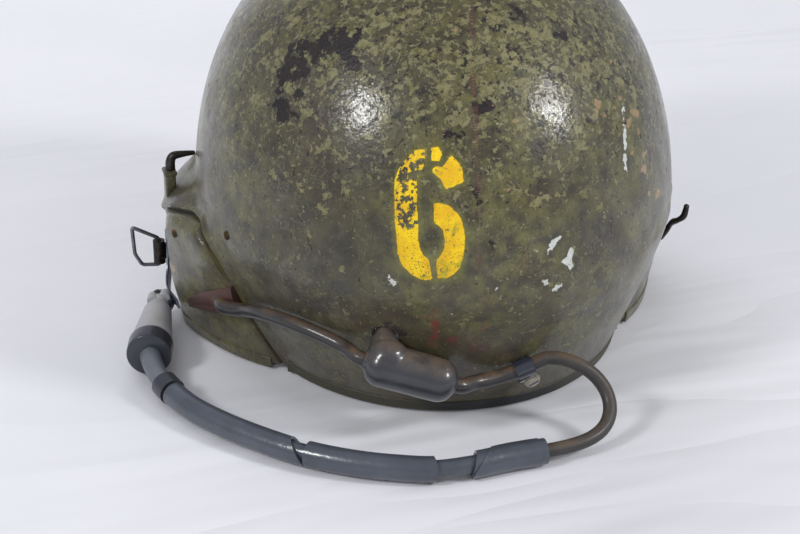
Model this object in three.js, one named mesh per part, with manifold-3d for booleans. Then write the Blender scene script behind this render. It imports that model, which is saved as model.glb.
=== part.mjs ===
// Tanker helmet: a laminated dome with two bulged ear doors, nape cables and a short free cord.
// Millimetres. +X is the wearer's left, -Y the front, +Z up, and the rim rests on Z = 0.
import * as THREE from 'three';
import { mergeVertices } from 'three/addons/utils/BufferGeometryUtils.js';
import Module from 'manifold-3d';

const wasm = await Module();
wasm.setup();

// Dome
const HALF_WIDTH = 122.3;
const HALF_LENGTH = 138;
const WIDEST_HEIGHT = 76;
const CROWN_RISE = 146;
const CROWN_FULLNESS = 2.13;
const RIM_TUCK = 27.4;
const TUCK_CURVE = 1.22;
const WALL = 4;

// Ear bulges, shared by the shell above and the door below
const EAR_HALF_WIDTH = 137;
const EAR_LEAN = 8;
const BULGE_STEEP_BACK = 1.4;
const BULGE_STEEP_FRONT = 1.8;

// Edge binding and seams
const BINDING_WALL = 1.8;
const BINDING_LAP = 6;
const RIM_LIFT = 3.5;
const SEAM_GAP = 0.8;
const CLEARANCE = 0.3;

// Ear pads
const PAD_RADIUS = 30;
const PAD_BORE = 15;
const PAD_FACE = 86;
const PAD_EDGE = 5;

// Cables, cord and plug
const CABLE_RADIUS = 3.4;
const EAR_CABLE_RADIUS = 3.5;
const JUNCTION_RADIUS = 10;
const JUNCTION_NOSE = 9;
const STUB_RADIUS = 5.4;
const HOLE_RADIUS = 6.6;
const SLEEVE_RADIUS = 6.25;
const CORE_RADIUS = 4.3;
const BAND_RADIUS = 6.9;
const COLLAR_RADIUS = 11.7;
const PLUG_RADIUS = 10.4;

// Wire bail, its barrel and the small hardware
const WIRE_RADIUS = 1.05;
const BARREL_RADIUS = 3.2;
const BARREL_LENGTH = 13;
const BARREL_STANDOFF = 4.2;
const BAIL_REACH = 14;
const BAIL_CORNER = 0.9;
const HOOK_RADIUS = 1.5;
const RIVET_RADIUS = 3;
const STRAP_THICKNESS = 1.4;
const LUG_WIDTH = 10;
const LUG_LIP = 1.5;
const LUG_SEAT = 1.0;

const COLOURS = {
  paint: ['#55523f', 0.45, 0],
  binding: ['#2b2c2e', 0.75, 0],
  leather: ['#2a2724', 0.6, 0],
  rubber: ['#4c4a4c', 0.55, 0],
  cordRubber: ['#5a5451', 0.7, 0],
  boot: ['#443a37', 0.7, 0],
  vinyl: ['#585e6b', 0.5, 0],
  plug: ['#7d7f86', 0.55, 0],
  darkMetal: ['#33312f', 0.5, 0.6],
  zinc: ['#8a90a0', 0.4, 0.8],
  steel: ['#6f7078', 0.35, 0.9],
  rust: ['#8a6238', 0.8, 0.3],
  nickel: ['#a8a092', 0.35, 0.9],
};

// Edge of the left ear opening, from the rear foot over the top to the lower front corner:
// back is a share of HALF_LENGTH, height a share of WIDEST_HEIGHT
const OPENING = [
  { back: 0.329, height: 0.046 },
  { back: 0.310, height: 0.17 },
  { back: 0.275, height: 0.38 },
  { back: 0.235, height: 0.60 },
  { back: 0.184, height: 0.85 },
  { back: 0.100, height: 0.93 },
  { back: 0.000, height: 0.95 },
  { back: -0.140, height: 0.91 },
  { back: -0.275, height: 0.81 },
  { back: -0.390, height: 0.67 },
  { back: -0.475, height: 0.53 },
];
const REAR_SEAM_POINTS = 5;

// Free edge of the shell from the ear opening up to the middle of the brow
const BROW = [
  { back: -0.530, height: 0.78 },
  { back: -0.577, height: 0.94 },
  { back: -0.625, height: 1.08 },
  { back: -0.682, height: 1.22 },
  { back: -0.740, height: 1.33 },
  { back: -0.797, height: 1.42 },
  { back: -0.850, height: 1.49 },
  { back: -0.895, height: 1.535 },
  { back: -0.930, height: 1.562 },
];
const BROW_HEIGHT = 1.58;

// Lower and front edges of the left ear door
const DOOR_FOOT = [
  { back: 0.329, height: 0.046 },
  { back: 0.200, height: 0.046 },
  { back: 0.060, height: 0.046 },
  { back: -0.090, height: 0.046 },
  { back: -0.240, height: 0.046 },
  { back: -0.350, height: 0.052 },
  { back: -0.440, height: 0.15 },
];
const DOOR_FRONT = [
  { back: -0.440, height: 0.15 },
  { back: -0.475, height: 0.29 },
  { back: -0.475, height: 0.53 },
];

// Cable routes over the shell: angle in degrees from the rear, height a share of WIDEST_HEIGHT,
// lift the distance of the centre line from the paint
const EAR_CABLE = [
  { angle: 71.5, height: 0.5, lift: 6.2 },
  { angle: 66, height: 0.57, lift: 5.8 },
  { angle: 58.7, height: 0.628, lift: 5.2 },
  { angle: 49.4, height: 0.651, lift: 4.9 },
  { angle: 41.6, height: 0.62, lift: 5 },
  { angle: 37.2, height: 0.6, lift: 6.2 },
];
const JUNCTION = [
  { angle: 27.9, height: 0.583, lift: 11.2 },
  { angle: 15.8, height: 0.487, lift: 11.2 },
];
const STUB = [
  { angle: 28.8, height: 0.72, lift: -7 },
  { angle: 28.2, height: 0.675, lift: 3.4 },
  { angle: 27.3, height: 0.635, lift: 8 },
];
const NAPE_CABLE = [
  { angle: 8.2, height: 0.42, lift: 9.4 },
  { angle: 5.2, height: 0.402, lift: 7.6 },
  { angle: 0.5, height: 0.395, lift: 5.6 },
  { angle: -3.6, height: 0.415, lift: 5 },
  { angle: -8, height: 0.46, lift: 5 },
  { angle: -10.6, height: 0.483, lift: 5.2 },
];
const CLAMP_PLACE = { angle: -5.6, height: 0.434, lift: 5 };
const CLAMP_LENGTH = 9;
const CLAMP_WALL = 1.2;
const SCREW_PLACE = { angle: -6.6, height: 0.31, lift: 0 };

// Spring lug: where it stands on the shoulder of the bulge, and the height of its outer top corner
const LUG_BACK = -0.275;
const LUG_FOOT = 0.74;
const LUG_SHOULDER = 0.9;
const LUG_TOP = 1.08;

// Free cord, chosen by hand: centre line from the clamp to the plug
const CORD_ROUTE = [
  [-31, 132.3, 35.6], [-38, 134.2, 32.2], [-43.6, 136.8, 28],
  [-47.4, 140.6, 22.8], [-48.8, 145.2, 17.8], [-47.4, 150.2, 13.2], [-43.4, 155.2, 9.9],
  [-37, 159.2, 7.8], [-28.5, 161.8, 6.7], [-19.5, 163.1, 6.35], [-10.5, 163.7, 6.3],
];
const SLEEVE_ROUTE = [
  [-10.5, 163.7, 6.3], [6, 164.2, 6.3], [26, 166.3, 6.3], [45, 165.8, 6.3], [60, 160.6, 6.3],
  [75, 153.5, 6.3], [90, 144, 6.3], [104, 132.6, 6.3], [118, 117.8, 6.3], [132, 100.2, 6.3],
  [143.4, 82, 6.3], [150.6, 64.5, 6.4],
];
const TAIL_ROUTE = [
  [150.6, 64.5, 6.9], [153.4, 56, 7.6], [155.8, 46.5, 9.2], [156.8, 37.5, 11.2], [156.6, 29, 11.9],
];
// Pieces along the sleeve route, with their ends as shares of its length
const SLEEVES = [
  { name: 'sleeve_1', from: 0, to: 0.158, radius: SLEEVE_RADIUS },
  { name: 'cord_core', from: 0.158, to: 0.245, radius: CORE_RADIUS },
  { name: 'sleeve_2', from: 0.245, to: 0.565, radius: SLEEVE_RADIUS },
  { name: 'sleeve_3', from: 0.565, to: 1, radius: SLEEVE_RADIUS },
];
const PLUG_AXIS = [[156.6, 29, 11.9], [147.5, -6, 11.9], [140.2, -34, 12.6]];
const CORD_PIECES = new Set(['cord', 'cord_core', 'sleeve_1', 'sleeve_2', 'sleeve_3', 'sleeve_band',
  'strain_relief', 'plug_collar', 'plug_body', 'plug_neck', 'plug_tip']);

const DOME_ROWS = 15;
const DOOR_ROWS = 8;
const DOOR_COLUMNS = 12;
const NAPE_ANGLES = [0, 9, 18, 27, 36, 45, 54, 62.5];
const UP = new THREE.Vector3(0, 0, 1);
const helmet = new THREE.Group();

function clamp01(t) {
  return Math.min(Math.max(t, 0), 1);
}

function ease(t) {
  const s = clamp01(t);
  return s * s * (3 - 2 * s);
}

function addPiece(name, geometry, finish) {
  const [color, roughness, metalness] = COLOURS[finish];
  const mesh = new THREE.Mesh(geometry, new THREE.MeshStandardMaterial({ color, roughness, metalness }));
  mesh.name = name;
  helmet.add(mesh);
  return mesh;
}

// Share of the widest section that the dome has at a height
function sectionShare(z) {
  if (z >= WIDEST_HEIGHT) {
    const rise = clamp01((z - WIDEST_HEIGHT) / CROWN_RISE);
    return (1 - rise ** CROWN_FULLNESS) ** (1 / CROWN_FULLNESS);
  }
  const drop = (WIDEST_HEIGHT - z) / WIDEST_HEIGHT;
  return 1 - (RIM_TUCK / HALF_WIDTH) * drop ** TUCK_CURVE;
}

// How much of the ear bulge stands out at a place on the side
function bulgeShare(y, z) {
  const foot = HALF_LENGTH * (0.362 - 0.116 * clamp01(z / WIDEST_HEIGHT / 0.87));
  const peak = -0.16 * HALF_LENGTH;
  const front = -0.725 * HALF_LENGTH;
  const back = clamp01((foot - y) / (foot - peak));
  const fore = clamp01((y - front) / (peak - front));
  const top = ease((1.05 * WIDEST_HEIGHT - z) / (0.32 * WIDEST_HEIGHT));
  return (1 - (1 - back) ** BULGE_STEEP_BACK) * (1 - (1 - fore) ** BULGE_STEEP_FRONT) * top;
}

// Outer surface: u in radians from the rear towards the wearer's left, z the height
function outerPoint(u, z) {
  const share = sectionShare(z);
  const x = HALF_WIDTH * share * Math.sin(u);
  const y = HALF_LENGTH * share * Math.cos(u);
  const flare = 0.63 * WIDEST_HEIGHT;
  const ear = EAR_HALF_WIDTH - EAR_LEAN * clamp01((flare - z) / flare) ** 2;
  const side = Math.abs(Math.sin(u)) > 0.3 ? Math.max(ear - Math.abs(x), 0) * bulgeShare(y, z) : 0;
  return new THREE.Vector3(x + Math.sign(x) * side, y, z);
}

function outerNormal(u, z) {
  const top = WIDEST_HEIGHT + CROWN_RISE;
  if (z > top - 0.5) return UP.clone();
  const step = 0.4;
  const across = outerPoint(u + step / HALF_LENGTH, z).sub(outerPoint(u - step / HALF_LENGTH, z));
  const along = outerPoint(u, Math.min(z + step, top)).sub(outerPoint(u, z - step));
  return along.cross(across).normalize();
}

// A place that stands off the paint by a distance
function offSurface(u, z, lift) {
  return outerPoint(u, z).addScaledVector(outerNormal(u, z), lift);
}

function napePoint({ angle, height, lift }) {
  return offSurface(THREE.MathUtils.degToRad(angle), height * WIDEST_HEIGHT, lift);
}

// Angle of a place on the left side that is given by its distance behind the middle
function sideAngle(y, z) {
  return Math.acos(THREE.MathUtils.clamp(y / (HALF_LENGTH * sectionShare(z)), -1, 1));
}

function sidePoint(back, height, lift = 0, side = 1) {
  const y = back * HALF_LENGTH;
  const z = height * WIDEST_HEIGHT;
  const point = offSurface(sideAngle(y, z), z, lift);
  point.x *= side;
  return point;
}

// One closed mesh from loose triangles, with its shared corners merged and its faces pointing out
function closedMesh(triangles) {
  const loose = new THREE.BufferGeometry().setFromPoints(triangles.flat());
  const merged = mergeVertices(loose, 1e-3);
  const index = merged.getIndex().array;
  const position = merged.getAttribute('position');
  const kept = [];
  let volume = 0;
  const [a, b, c] = [new THREE.Vector3(), new THREE.Vector3(), new THREE.Vector3()];
  for (let i = 0; i < index.length; i += 3) {
    const [p, q, r] = [index[i], index[i + 1], index[i + 2]];
    if (p === q || q === r || r === p) continue;
    kept.push(p, q, r);
    a.fromBufferAttribute(position, p);
    b.fromBufferAttribute(position, q);
    c.fromBufferAttribute(position, r);
    volume += a.dot(b.cross(c));
  }
  if (volume < 0) {
    for (let i = 0; i < kept.length; i += 3) [kept[i], kept[i + 1]] = [kept[i + 1], kept[i]];
  }
  const geometry = new THREE.BufferGeometry();
  geometry.setAttribute('position', position.clone());
  geometry.setIndex(kept);
  geometry.computeVertexNormals();
  return geometry;
}

function quad(out, a, b, c, d) {
  out.push([a, b, c], [a, c, d]);
}

// Solid wall between an outer and an inner grid of the same size; around closes the columns
function wallSolid(outer, inner, around = false) {
  const rows = outer.length;
  const columns = outer[0].length;
  const faces = [];
  const last = around ? columns : columns - 1;
  for (let i = 0; i < rows - 1; i++) {
    for (let j = 0; j < last; j++) {
      const k = (j + 1) % columns;
      quad(faces, outer[i][j], outer[i + 1][j], outer[i + 1][k], outer[i][k]);
      quad(faces, inner[i][j], inner[i][k], inner[i + 1][k], inner[i + 1][j]);
    }
    if (!around) {
      quad(faces, outer[i][0], inner[i][0], inner[i + 1][0], outer[i + 1][0]);
      quad(faces, outer[i][last], outer[i + 1][last], inner[i + 1][last], inner[i][last]);
    }
  }
  for (let j = 0; j < last; j++) {
    const k = (j + 1) % columns;
    quad(faces, outer[0][j], outer[0][k], inner[0][k], inner[0][j]);
    quad(faces, outer[rows - 1][j], inner[rows - 1][j], inner[rows - 1][k], outer[rows - 1][k]);
  }
  return closedMesh(faces);
}

// Solid swept through rings of points, closed on itself or with flat convex ends
function ringSolid(rings, closed = false) {
  const count = rings[0].length;
  const faces = [];
  const last = closed ? rings.length : rings.length - 1;
  for (let i = 0; i < last; i++) {
    const next = rings[(i + 1) % rings.length];
    for (let j = 0; j < count; j++) {
      const k = (j + 1) % count;
      quad(faces, rings[i][j], rings[i][k], next[k], next[j]);
    }
  }
  if (!closed) {
    const end = rings[rings.length - 1];
    for (let j = 1; j < count - 1; j++) {
      faces.push([rings[0][0], rings[0][j + 1], rings[0][j]]);
      faces.push([end[0], end[j], end[j + 1]]);
    }
  }
  return closedMesh(faces);
}

// Round tube along a curve
function tube(curve, radius, sides, steps) {
  const section = new THREE.Shape();
  for (let i = 0; i < sides; i++) {
    const turn = (2 * Math.PI * i) / sides;
    const place = [radius * Math.cos(turn), radius * Math.sin(turn)];
    if (i === 0) section.moveTo(...place);
    else section.lineTo(...place);
  }
  section.closePath();
  return new THREE.ExtrudeGeometry(section, { steps, extrudePath: curve, curveSegments: 1 });
}

function curveThrough(points) {
  return new THREE.CatmullRomCurve3(points, false, 'centripetal');
}

// Part of a curve between two shares of its length, as a curve of its own
function curvePart(curve, from, to, count) {
  const points = [];
  for (let i = 0; i <= count; i++) points.push(curve.getPointAt(from + ((to - from) * i) / count));
  return curveThrough(points);
}

// Turned piece on the axis from one point towards another; profile holds [distance along, radius]
function turned(start, towards, profile, sides) {
  const outline = [new THREE.Vector2(0, profile[0][0])];
  for (const [along, radius] of profile) outline.push(new THREE.Vector2(radius, along));
  outline.push(new THREE.Vector2(0, profile[profile.length - 1][0]));
  const geometry = new THREE.LatheGeometry(outline, sides);
  const axis = towards.clone().sub(start).normalize();
  const turn = new THREE.Quaternion().setFromUnitVectors(new THREE.Vector3(0, 1, 0), axis);
  geometry.applyQuaternion(turn).translate(start.x, start.y, start.z);
  geometry.deleteAttribute('normal');
  geometry.deleteAttribute('uv');
  const flat = geometry.toNonIndexed().getAttribute('position');
  const faces = [];
  for (let i = 0; i < flat.count; i += 3) {
    faces.push([0, 1, 2].map((k) => new THREE.Vector3().fromBufferAttribute(flat, i + k)));
  }
  return closedMesh(faces);
}

function solidOf(geometry) {
  const bare = geometry.clone();
  bare.deleteAttribute('normal');
  bare.deleteAttribute('uv');
  const merged = mergeVertices(bare, 1e-3);
  return new wasm.Manifold(new wasm.Mesh({
    numProp: 3,
    vertProperties: new Float32Array(merged.getAttribute('position').array),
    triVerts: new Uint32Array(merged.getIndex().array),
  }));
}

function geometryOf(solid) {
  const mesh = solid.getMesh();
  const result = new THREE.BufferGeometry();
  result.setAttribute('position', new THREE.BufferAttribute(new Float32Array(mesh.vertProperties), 3));
  result.setIndex(Array.from(mesh.triVerts));
  result.computeVertexNormals();
  return result;
}

function cut(geometry, tool) {
  return geometryOf(solidOf(geometry).subtract(solidOf(tool)));
}

function join(geometry, other) {
  return geometryOf(solidOf(geometry).add(solidOf(other)));
}

// U-shaped binding over a free edge; each place is an angle and height on the outer surface
function binding(places, onFloor, clearance = CLEARANCE) {
  const outer = [];
  const inner = [];
  const points = places.map(({ u, z }) => outerPoint(u, z));
  const path = (off) => [[off, -BINDING_LAP], [off, off], [-WALL - off, off], [-WALL - off, -BINDING_LAP]];
  const outerPath = path(clearance + BINDING_WALL);
  const innerPath = path(clearance);
  places.forEach(({ u, z }, i) => {
    const before = points[Math.max(i - 1, 0)];
    const after = points[Math.min(i + 1, points.length - 1)];
    const normal = outerNormal(u, z);
    const away = after.clone().sub(before).cross(normal).normalize();
    const inside = outerPoint(u, z + 8).sub(points[i]);
    if (away.dot(inside) > 0) away.negate();
    const place = ([a, b]) => points[i].clone().addScaledVector(normal, a).addScaledVector(away, b);
    const ring = outerPath.map(place);
    if (onFloor(z)) {
      ring[1].z = 0;
      ring[2].z = 0;
    }
    outer.push(ring);
    inner.push(innerPath.map(place));
  });
  return wallSolid(outer, inner);
}

function surfacePlace({ back, height }) {
  const z = height * WIDEST_HEIGHT;
  return { u: sideAngle(back * HALF_LENGTH, z), z };
}

function mirrored(places) {
  return places.map(({ u, z }) => ({ u: -u, z }));
}

// The shell's lower edge from the rear round the wearer's left to the middle of the brow
function shellEdge() {
  const edge = NAPE_ANGLES.map((angle) => ({ u: THREE.MathUtils.degToRad(angle), z: RIM_LIFT }));
  for (const place of OPENING) edge.push(surfacePlace(place));
  for (const place of BROW) edge.push(surfacePlace(place));
  edge.push({ u: Math.PI, z: BROW_HEIGHT * WIDEST_HEIGHT });
  return edge;
}

// Height for a share of the way from the crown: 1 is the widest section, 2 the floor
function heightAt(way) {
  if (way > 1) return WIDEST_HEIGHT * (2 - way);
  return WIDEST_HEIGHT + CROWN_RISE * Math.cos((way * Math.PI) / 2) ** (2 / CROWN_FULLNESS);
}

function wayTo(z) {
  if (z < WIDEST_HEIGHT) return 2 - z / WIDEST_HEIGHT;
  return (2 / Math.PI) * Math.acos(((z - WIDEST_HEIGHT) / CROWN_RISE) ** (CROWN_FULLNESS / 2));
}

function makeShell() {
  const left = shellEdge();
  const right = mirrored(left.slice(1, -1)).reverse();
  const edge = [...left, ...right];
  const outer = [];
  const inner = [];
  for (let i = 0; i <= DOME_ROWS; i++) {
    const share = i / DOME_ROWS;
    const heights = edge.map(({ z }) => (i === DOME_ROWS ? z : heightAt(share * wayTo(z))));
    outer.push(edge.map(({ u }, j) => outerPoint(u, heights[j])));
    inner.push(edge.map(({ u }, j) => offSurface(u, heights[j], -WALL)));
  }
  return wallSolid(outer, inner, true);
}

// Point at a share of the way along a chain of side places
function alongChain(chain, share) {
  const at = clamp01(share) * (chain.length - 1);
  const i = Math.min(Math.floor(at), chain.length - 2);
  const t = at - i;
  return {
    back: chain[i].back + (chain[i + 1].back - chain[i].back) * t,
    height: chain[i].height + (chain[i + 1].height - chain[i].height) * t,
  };
}

// Patch of the side surface inside four edge chains
function doorPlace(s, t) {
  const gapBack = SEAM_GAP / HALF_LENGTH;
  const gapHeight = (1.7 * SEAM_GAP) / WIDEST_HEIGHT;
  const rear = OPENING.slice(0, REAR_SEAM_POINTS).map((p) => ({ back: p.back - gapBack, height: p.height }));
  const top = OPENING.slice(REAR_SEAM_POINTS - 1).map((p) => ({ back: p.back, height: p.height - gapHeight }));
  rear[REAR_SEAM_POINTS - 1].height -= gapHeight;
  top[0].back -= gapBack;
  const front = DOOR_FRONT.map((p) => ({ ...p }));
  front[front.length - 1].height -= gapHeight;
  const foot = DOOR_FOOT.map((p, i) => (i === 0 ? { ...rear[0] } : { ...p }));
  const [r, f] = [alongChain(rear, t), alongChain(front, t)];
  const [b, a] = [alongChain(foot, s), alongChain(top, s)];
  const corners = [foot[0], foot[foot.length - 1], top[0], top[top.length - 1]];
  const blend = (key) => (1 - s) * r[key] + s * f[key] + (1 - t) * b[key] + t * a[key]
    - (1 - s) * (1 - t) * corners[0][key] - s * (1 - t) * corners[1][key]
    - (1 - s) * t * corners[2][key] - s * t * corners[3][key];
  return { back: blend('back'), height: blend('height') };
}

function makeDoor(side) {
  const [rows, columns] = [DOOR_ROWS, DOOR_COLUMNS];
  const outer = [];
  const inner = [];
  for (let i = 0; i <= rows; i++) {
    const places = [];
    for (let j = 0; j <= columns; j++) places.push(doorPlace(j / columns, i / rows));
    outer.push(places.map((p) => sidePoint(p.back, p.height, 0, side)));
    inner.push(places.map((p) => sidePoint(p.back, p.height, -WALL, side)));
  }
  return wallSolid(outer, inner);
}

// Binding along a door's lower and front edges
function doorBinding(side) {
  const stations = [doorPlace(0.35 / DOOR_COLUMNS, 0)];
  for (let j = 1; j <= DOOR_COLUMNS; j++) stations.push(doorPlace(j / DOOR_COLUMNS, 0));
  for (let i = 1; i <= DOOR_ROWS / 2; i++) stations.push(doorPlace(1, i / DOOR_ROWS));
  const places = stations.map(surfacePlace);
  return binding(side > 0 ? places : mirrored(places), (z) => z < 1.5 * RIM_LIFT, 1.6 * CLEARANCE);
}

// Ring cushion whose back follows the inside of the door
function makePad(side) {
  const centre = new THREE.Vector3(0, -0.13 * HALF_LENGTH, 0.54 * WIDEST_HEIGHT);
  const rings = [];
  const turns = 20;
  for (let i = 0; i < turns; i++) {
    const turn = (2 * Math.PI * i) / turns;
    const spot = (radius, x) => {
      const y = centre.y + radius * Math.cos(turn);
      const z = centre.z + radius * Math.sin(turn);
      return new THREE.Vector3(side * x, y, z);
    };
    const backed = (radius) => {
      const place = spot(radius, 0);
      const u = sideAngle(place.y, place.z);
      const normal = outerNormal(u, place.z);
      const relief = 2 * CLEARANCE + 3 * ease((place.z - 0.62 * WIDEST_HEIGHT) / (0.2 * WIDEST_HEIGHT));
      place.x = side * (outerPoint(u, place.z).x - (WALL + relief) / normal.x);
      return place;
    };
    rings.push([
      spot(PAD_BORE, PAD_FACE + PAD_EDGE),
      spot(PAD_BORE + PAD_EDGE, PAD_FACE),
      spot(PAD_RADIUS - PAD_EDGE, PAD_FACE),
      spot(PAD_RADIUS, PAD_FACE + PAD_EDGE),
      backed(PAD_RADIUS),
      backed((PAD_RADIUS + PAD_BORE) / 2),
      backed(PAD_BORE),
    ]);
  }
  return ringSolid(rings, true);
}

// Flat strip that follows a chain of centre points, with a width direction and a thickness direction
function strip(points, across, outward, width, thickness) {
  const rings = points.map((point, i) => {
    const wide = across[i].clone().multiplyScalar(width[i] / 2);
    const thick = outward[i].clone().multiplyScalar(thickness[i]);
    return [
      point.clone().sub(wide),
      point.clone().add(wide),
      point.clone().add(wide).add(thick),
      point.clone().sub(wide).add(thick),
    ];
  });
  return ringSolid(rings);
}

// Shell and doors
const junctionEnds = JUNCTION.map(napePoint);
const stubCurve = curveThrough(STUB.map(napePoint));
const holeTool = turned(napePoint(STUB[0]), napePoint(STUB[1]), [[-6, HOLE_RADIUS], [22, HOLE_RADIUS]], 16);
addPiece('shell', cut(makeShell(), holeTool), 'paint');

const bootInside = sidePoint(0.125, 0.41, -5.5);
const bootExit = sidePoint(0.198, 0.46, 4.6);
const BOOT_HOLE_RADIUS = 5.6;
const bootTool = turned(bootInside, bootExit, [[-6, BOOT_HOLE_RADIUS], [26, BOOT_HOLE_RADIUS]], 16);
addPiece('ear_door_left', cut(makeDoor(1), bootTool), 'paint');
addPiece('ear_door_right', makeDoor(-1), 'paint');

// Edge binding
const napeEdge = shellEdge().slice(0, NAPE_ANGLES.length);
const napeRight = mirrored(napeEdge.slice(1)).reverse();
addPiece('nape_trim', binding([...napeRight, ...napeEdge], () => true), 'binding');
const browEdge = BROW.slice(2).map(surfacePlace);
const browMiddle = { u: Math.PI, z: BROW_HEIGHT * WIDEST_HEIGHT };
const browRight = mirrored(browEdge).map(({ u, z }) => ({ u: u + 2 * Math.PI, z })).reverse();
addPiece('brow_trim', binding([...browEdge, browMiddle, ...browRight], () => false, 2 * CLEARANCE), 'binding');
for (const [name, side] of [['left', 1], ['right', -1]]) {
  addPiece(`door_trim_${name}`, doorBinding(side), 'binding');
  addPiece(`ear_pad_${name}`, makePad(side), 'leather');
}

// Spring lug on each ear bulge and the spring that runs from it up to the dome
for (const [name, side] of [['left', 1], ['right', -1]]) {
  const y = LUG_BACK * HALF_LENGTH;
  const face = sidePoint(LUG_BACK, LUG_FOOT, 0).x + LUG_LIP;
  const topZ = LUG_TOP * WIDEST_HEIGHT;
  const sheets = [-0.5, 0.5].map((end) => {
    const back = LUG_BACK + (end * LUG_WIDTH) / HALF_LENGTH;
    const heights = [0, 1, 2, 3, 4, 5, 6].map((step) => LUG_FOOT + ((LUG_SHOULDER - LUG_FOOT) * step) / 6);
    const seat = heights.map((height) => sidePoint(back, height, LUG_SEAT, side));
    seat.push(new THREE.Vector3(seat[6].x, seat[6].y, topZ));
    const front = seat.map((point, step) => {
      const z = seat[0].z + ((topZ - seat[0].z) * step) / 7;
      return new THREE.Vector3(side * face, point.y, z);
    });
    return [seat, front];
  });
  addPiece(`spring_lug_${name}`, wallSolid(...sheets), 'paint');
  const middle = sidePoint(LUG_BACK, LUG_SHOULDER, LUG_SEAT);
  const ridge = (face + middle.x) / 2;
  const foot = new THREE.Vector3(side * ridge, y, topZ + CLEARANCE);
  const shellZ = 1.245 * WIDEST_HEIGHT;
  const top = offSurface(sideAngle(y, shellZ), shellZ, 1.5);
  const points = [
    foot,
    new THREE.Vector3(side * (ridge - 0.3), y, topZ + 6),
    new THREE.Vector3(side * (ridge - 2), y, topZ + 9.5),
    new THREE.Vector3(side * (top.x + 4), y, shellZ + 0.6),
    new THREE.Vector3(side * top.x, y, shellZ),
  ];
  const radii = [2.6, 2.5, 2.1, 1.5, 1.2];
  const rings = points.map((point, i) => {
    const before = points[Math.max(i - 1, 0)];
    const after = points[Math.min(i + 1, points.length - 1)];
    const along = after.clone().sub(before).normalize();
    const across = new THREE.Vector3(0, 1, 0);
    const outward = along.clone().cross(across);
    return Array.from({ length: 8 }, (_, k) => point.clone()
      .addScaledVector(across, radii[i] * Math.cos((k * Math.PI) / 4))
      .addScaledVector(outward, radii[i] * Math.sin((k * Math.PI) / 4)));
  });
  addPiece(`door_spring_${name}`, ringSolid(rings), 'darkMetal');
}

// Rusty rivets, one on each door and one on the shell behind it
const RIVETS = [
  { name: 'door_rivet', back: -0.036, height: 0.8 },
  { name: 'shell_rivet', back: 0.3, height: 1.03 },
];
for (const [name, side] of [['left', 1], ['right', -1]]) {
  for (const rivet of RIVETS) {
    const start = sidePoint(rivet.back, rivet.height, CLEARANCE, side);
    const towards = sidePoint(rivet.back, rivet.height, 5, side);
    const dome = [[0, RIVET_RADIUS], [0.7, 0.93 * RIVET_RADIUS], [1.3, 0.6 * RIVET_RADIUS], [1.5, 0.25]];
    addPiece(`${rivet.name}_${name}`, turned(start, towards, dome, 12), 'rust');
  }
}

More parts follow.
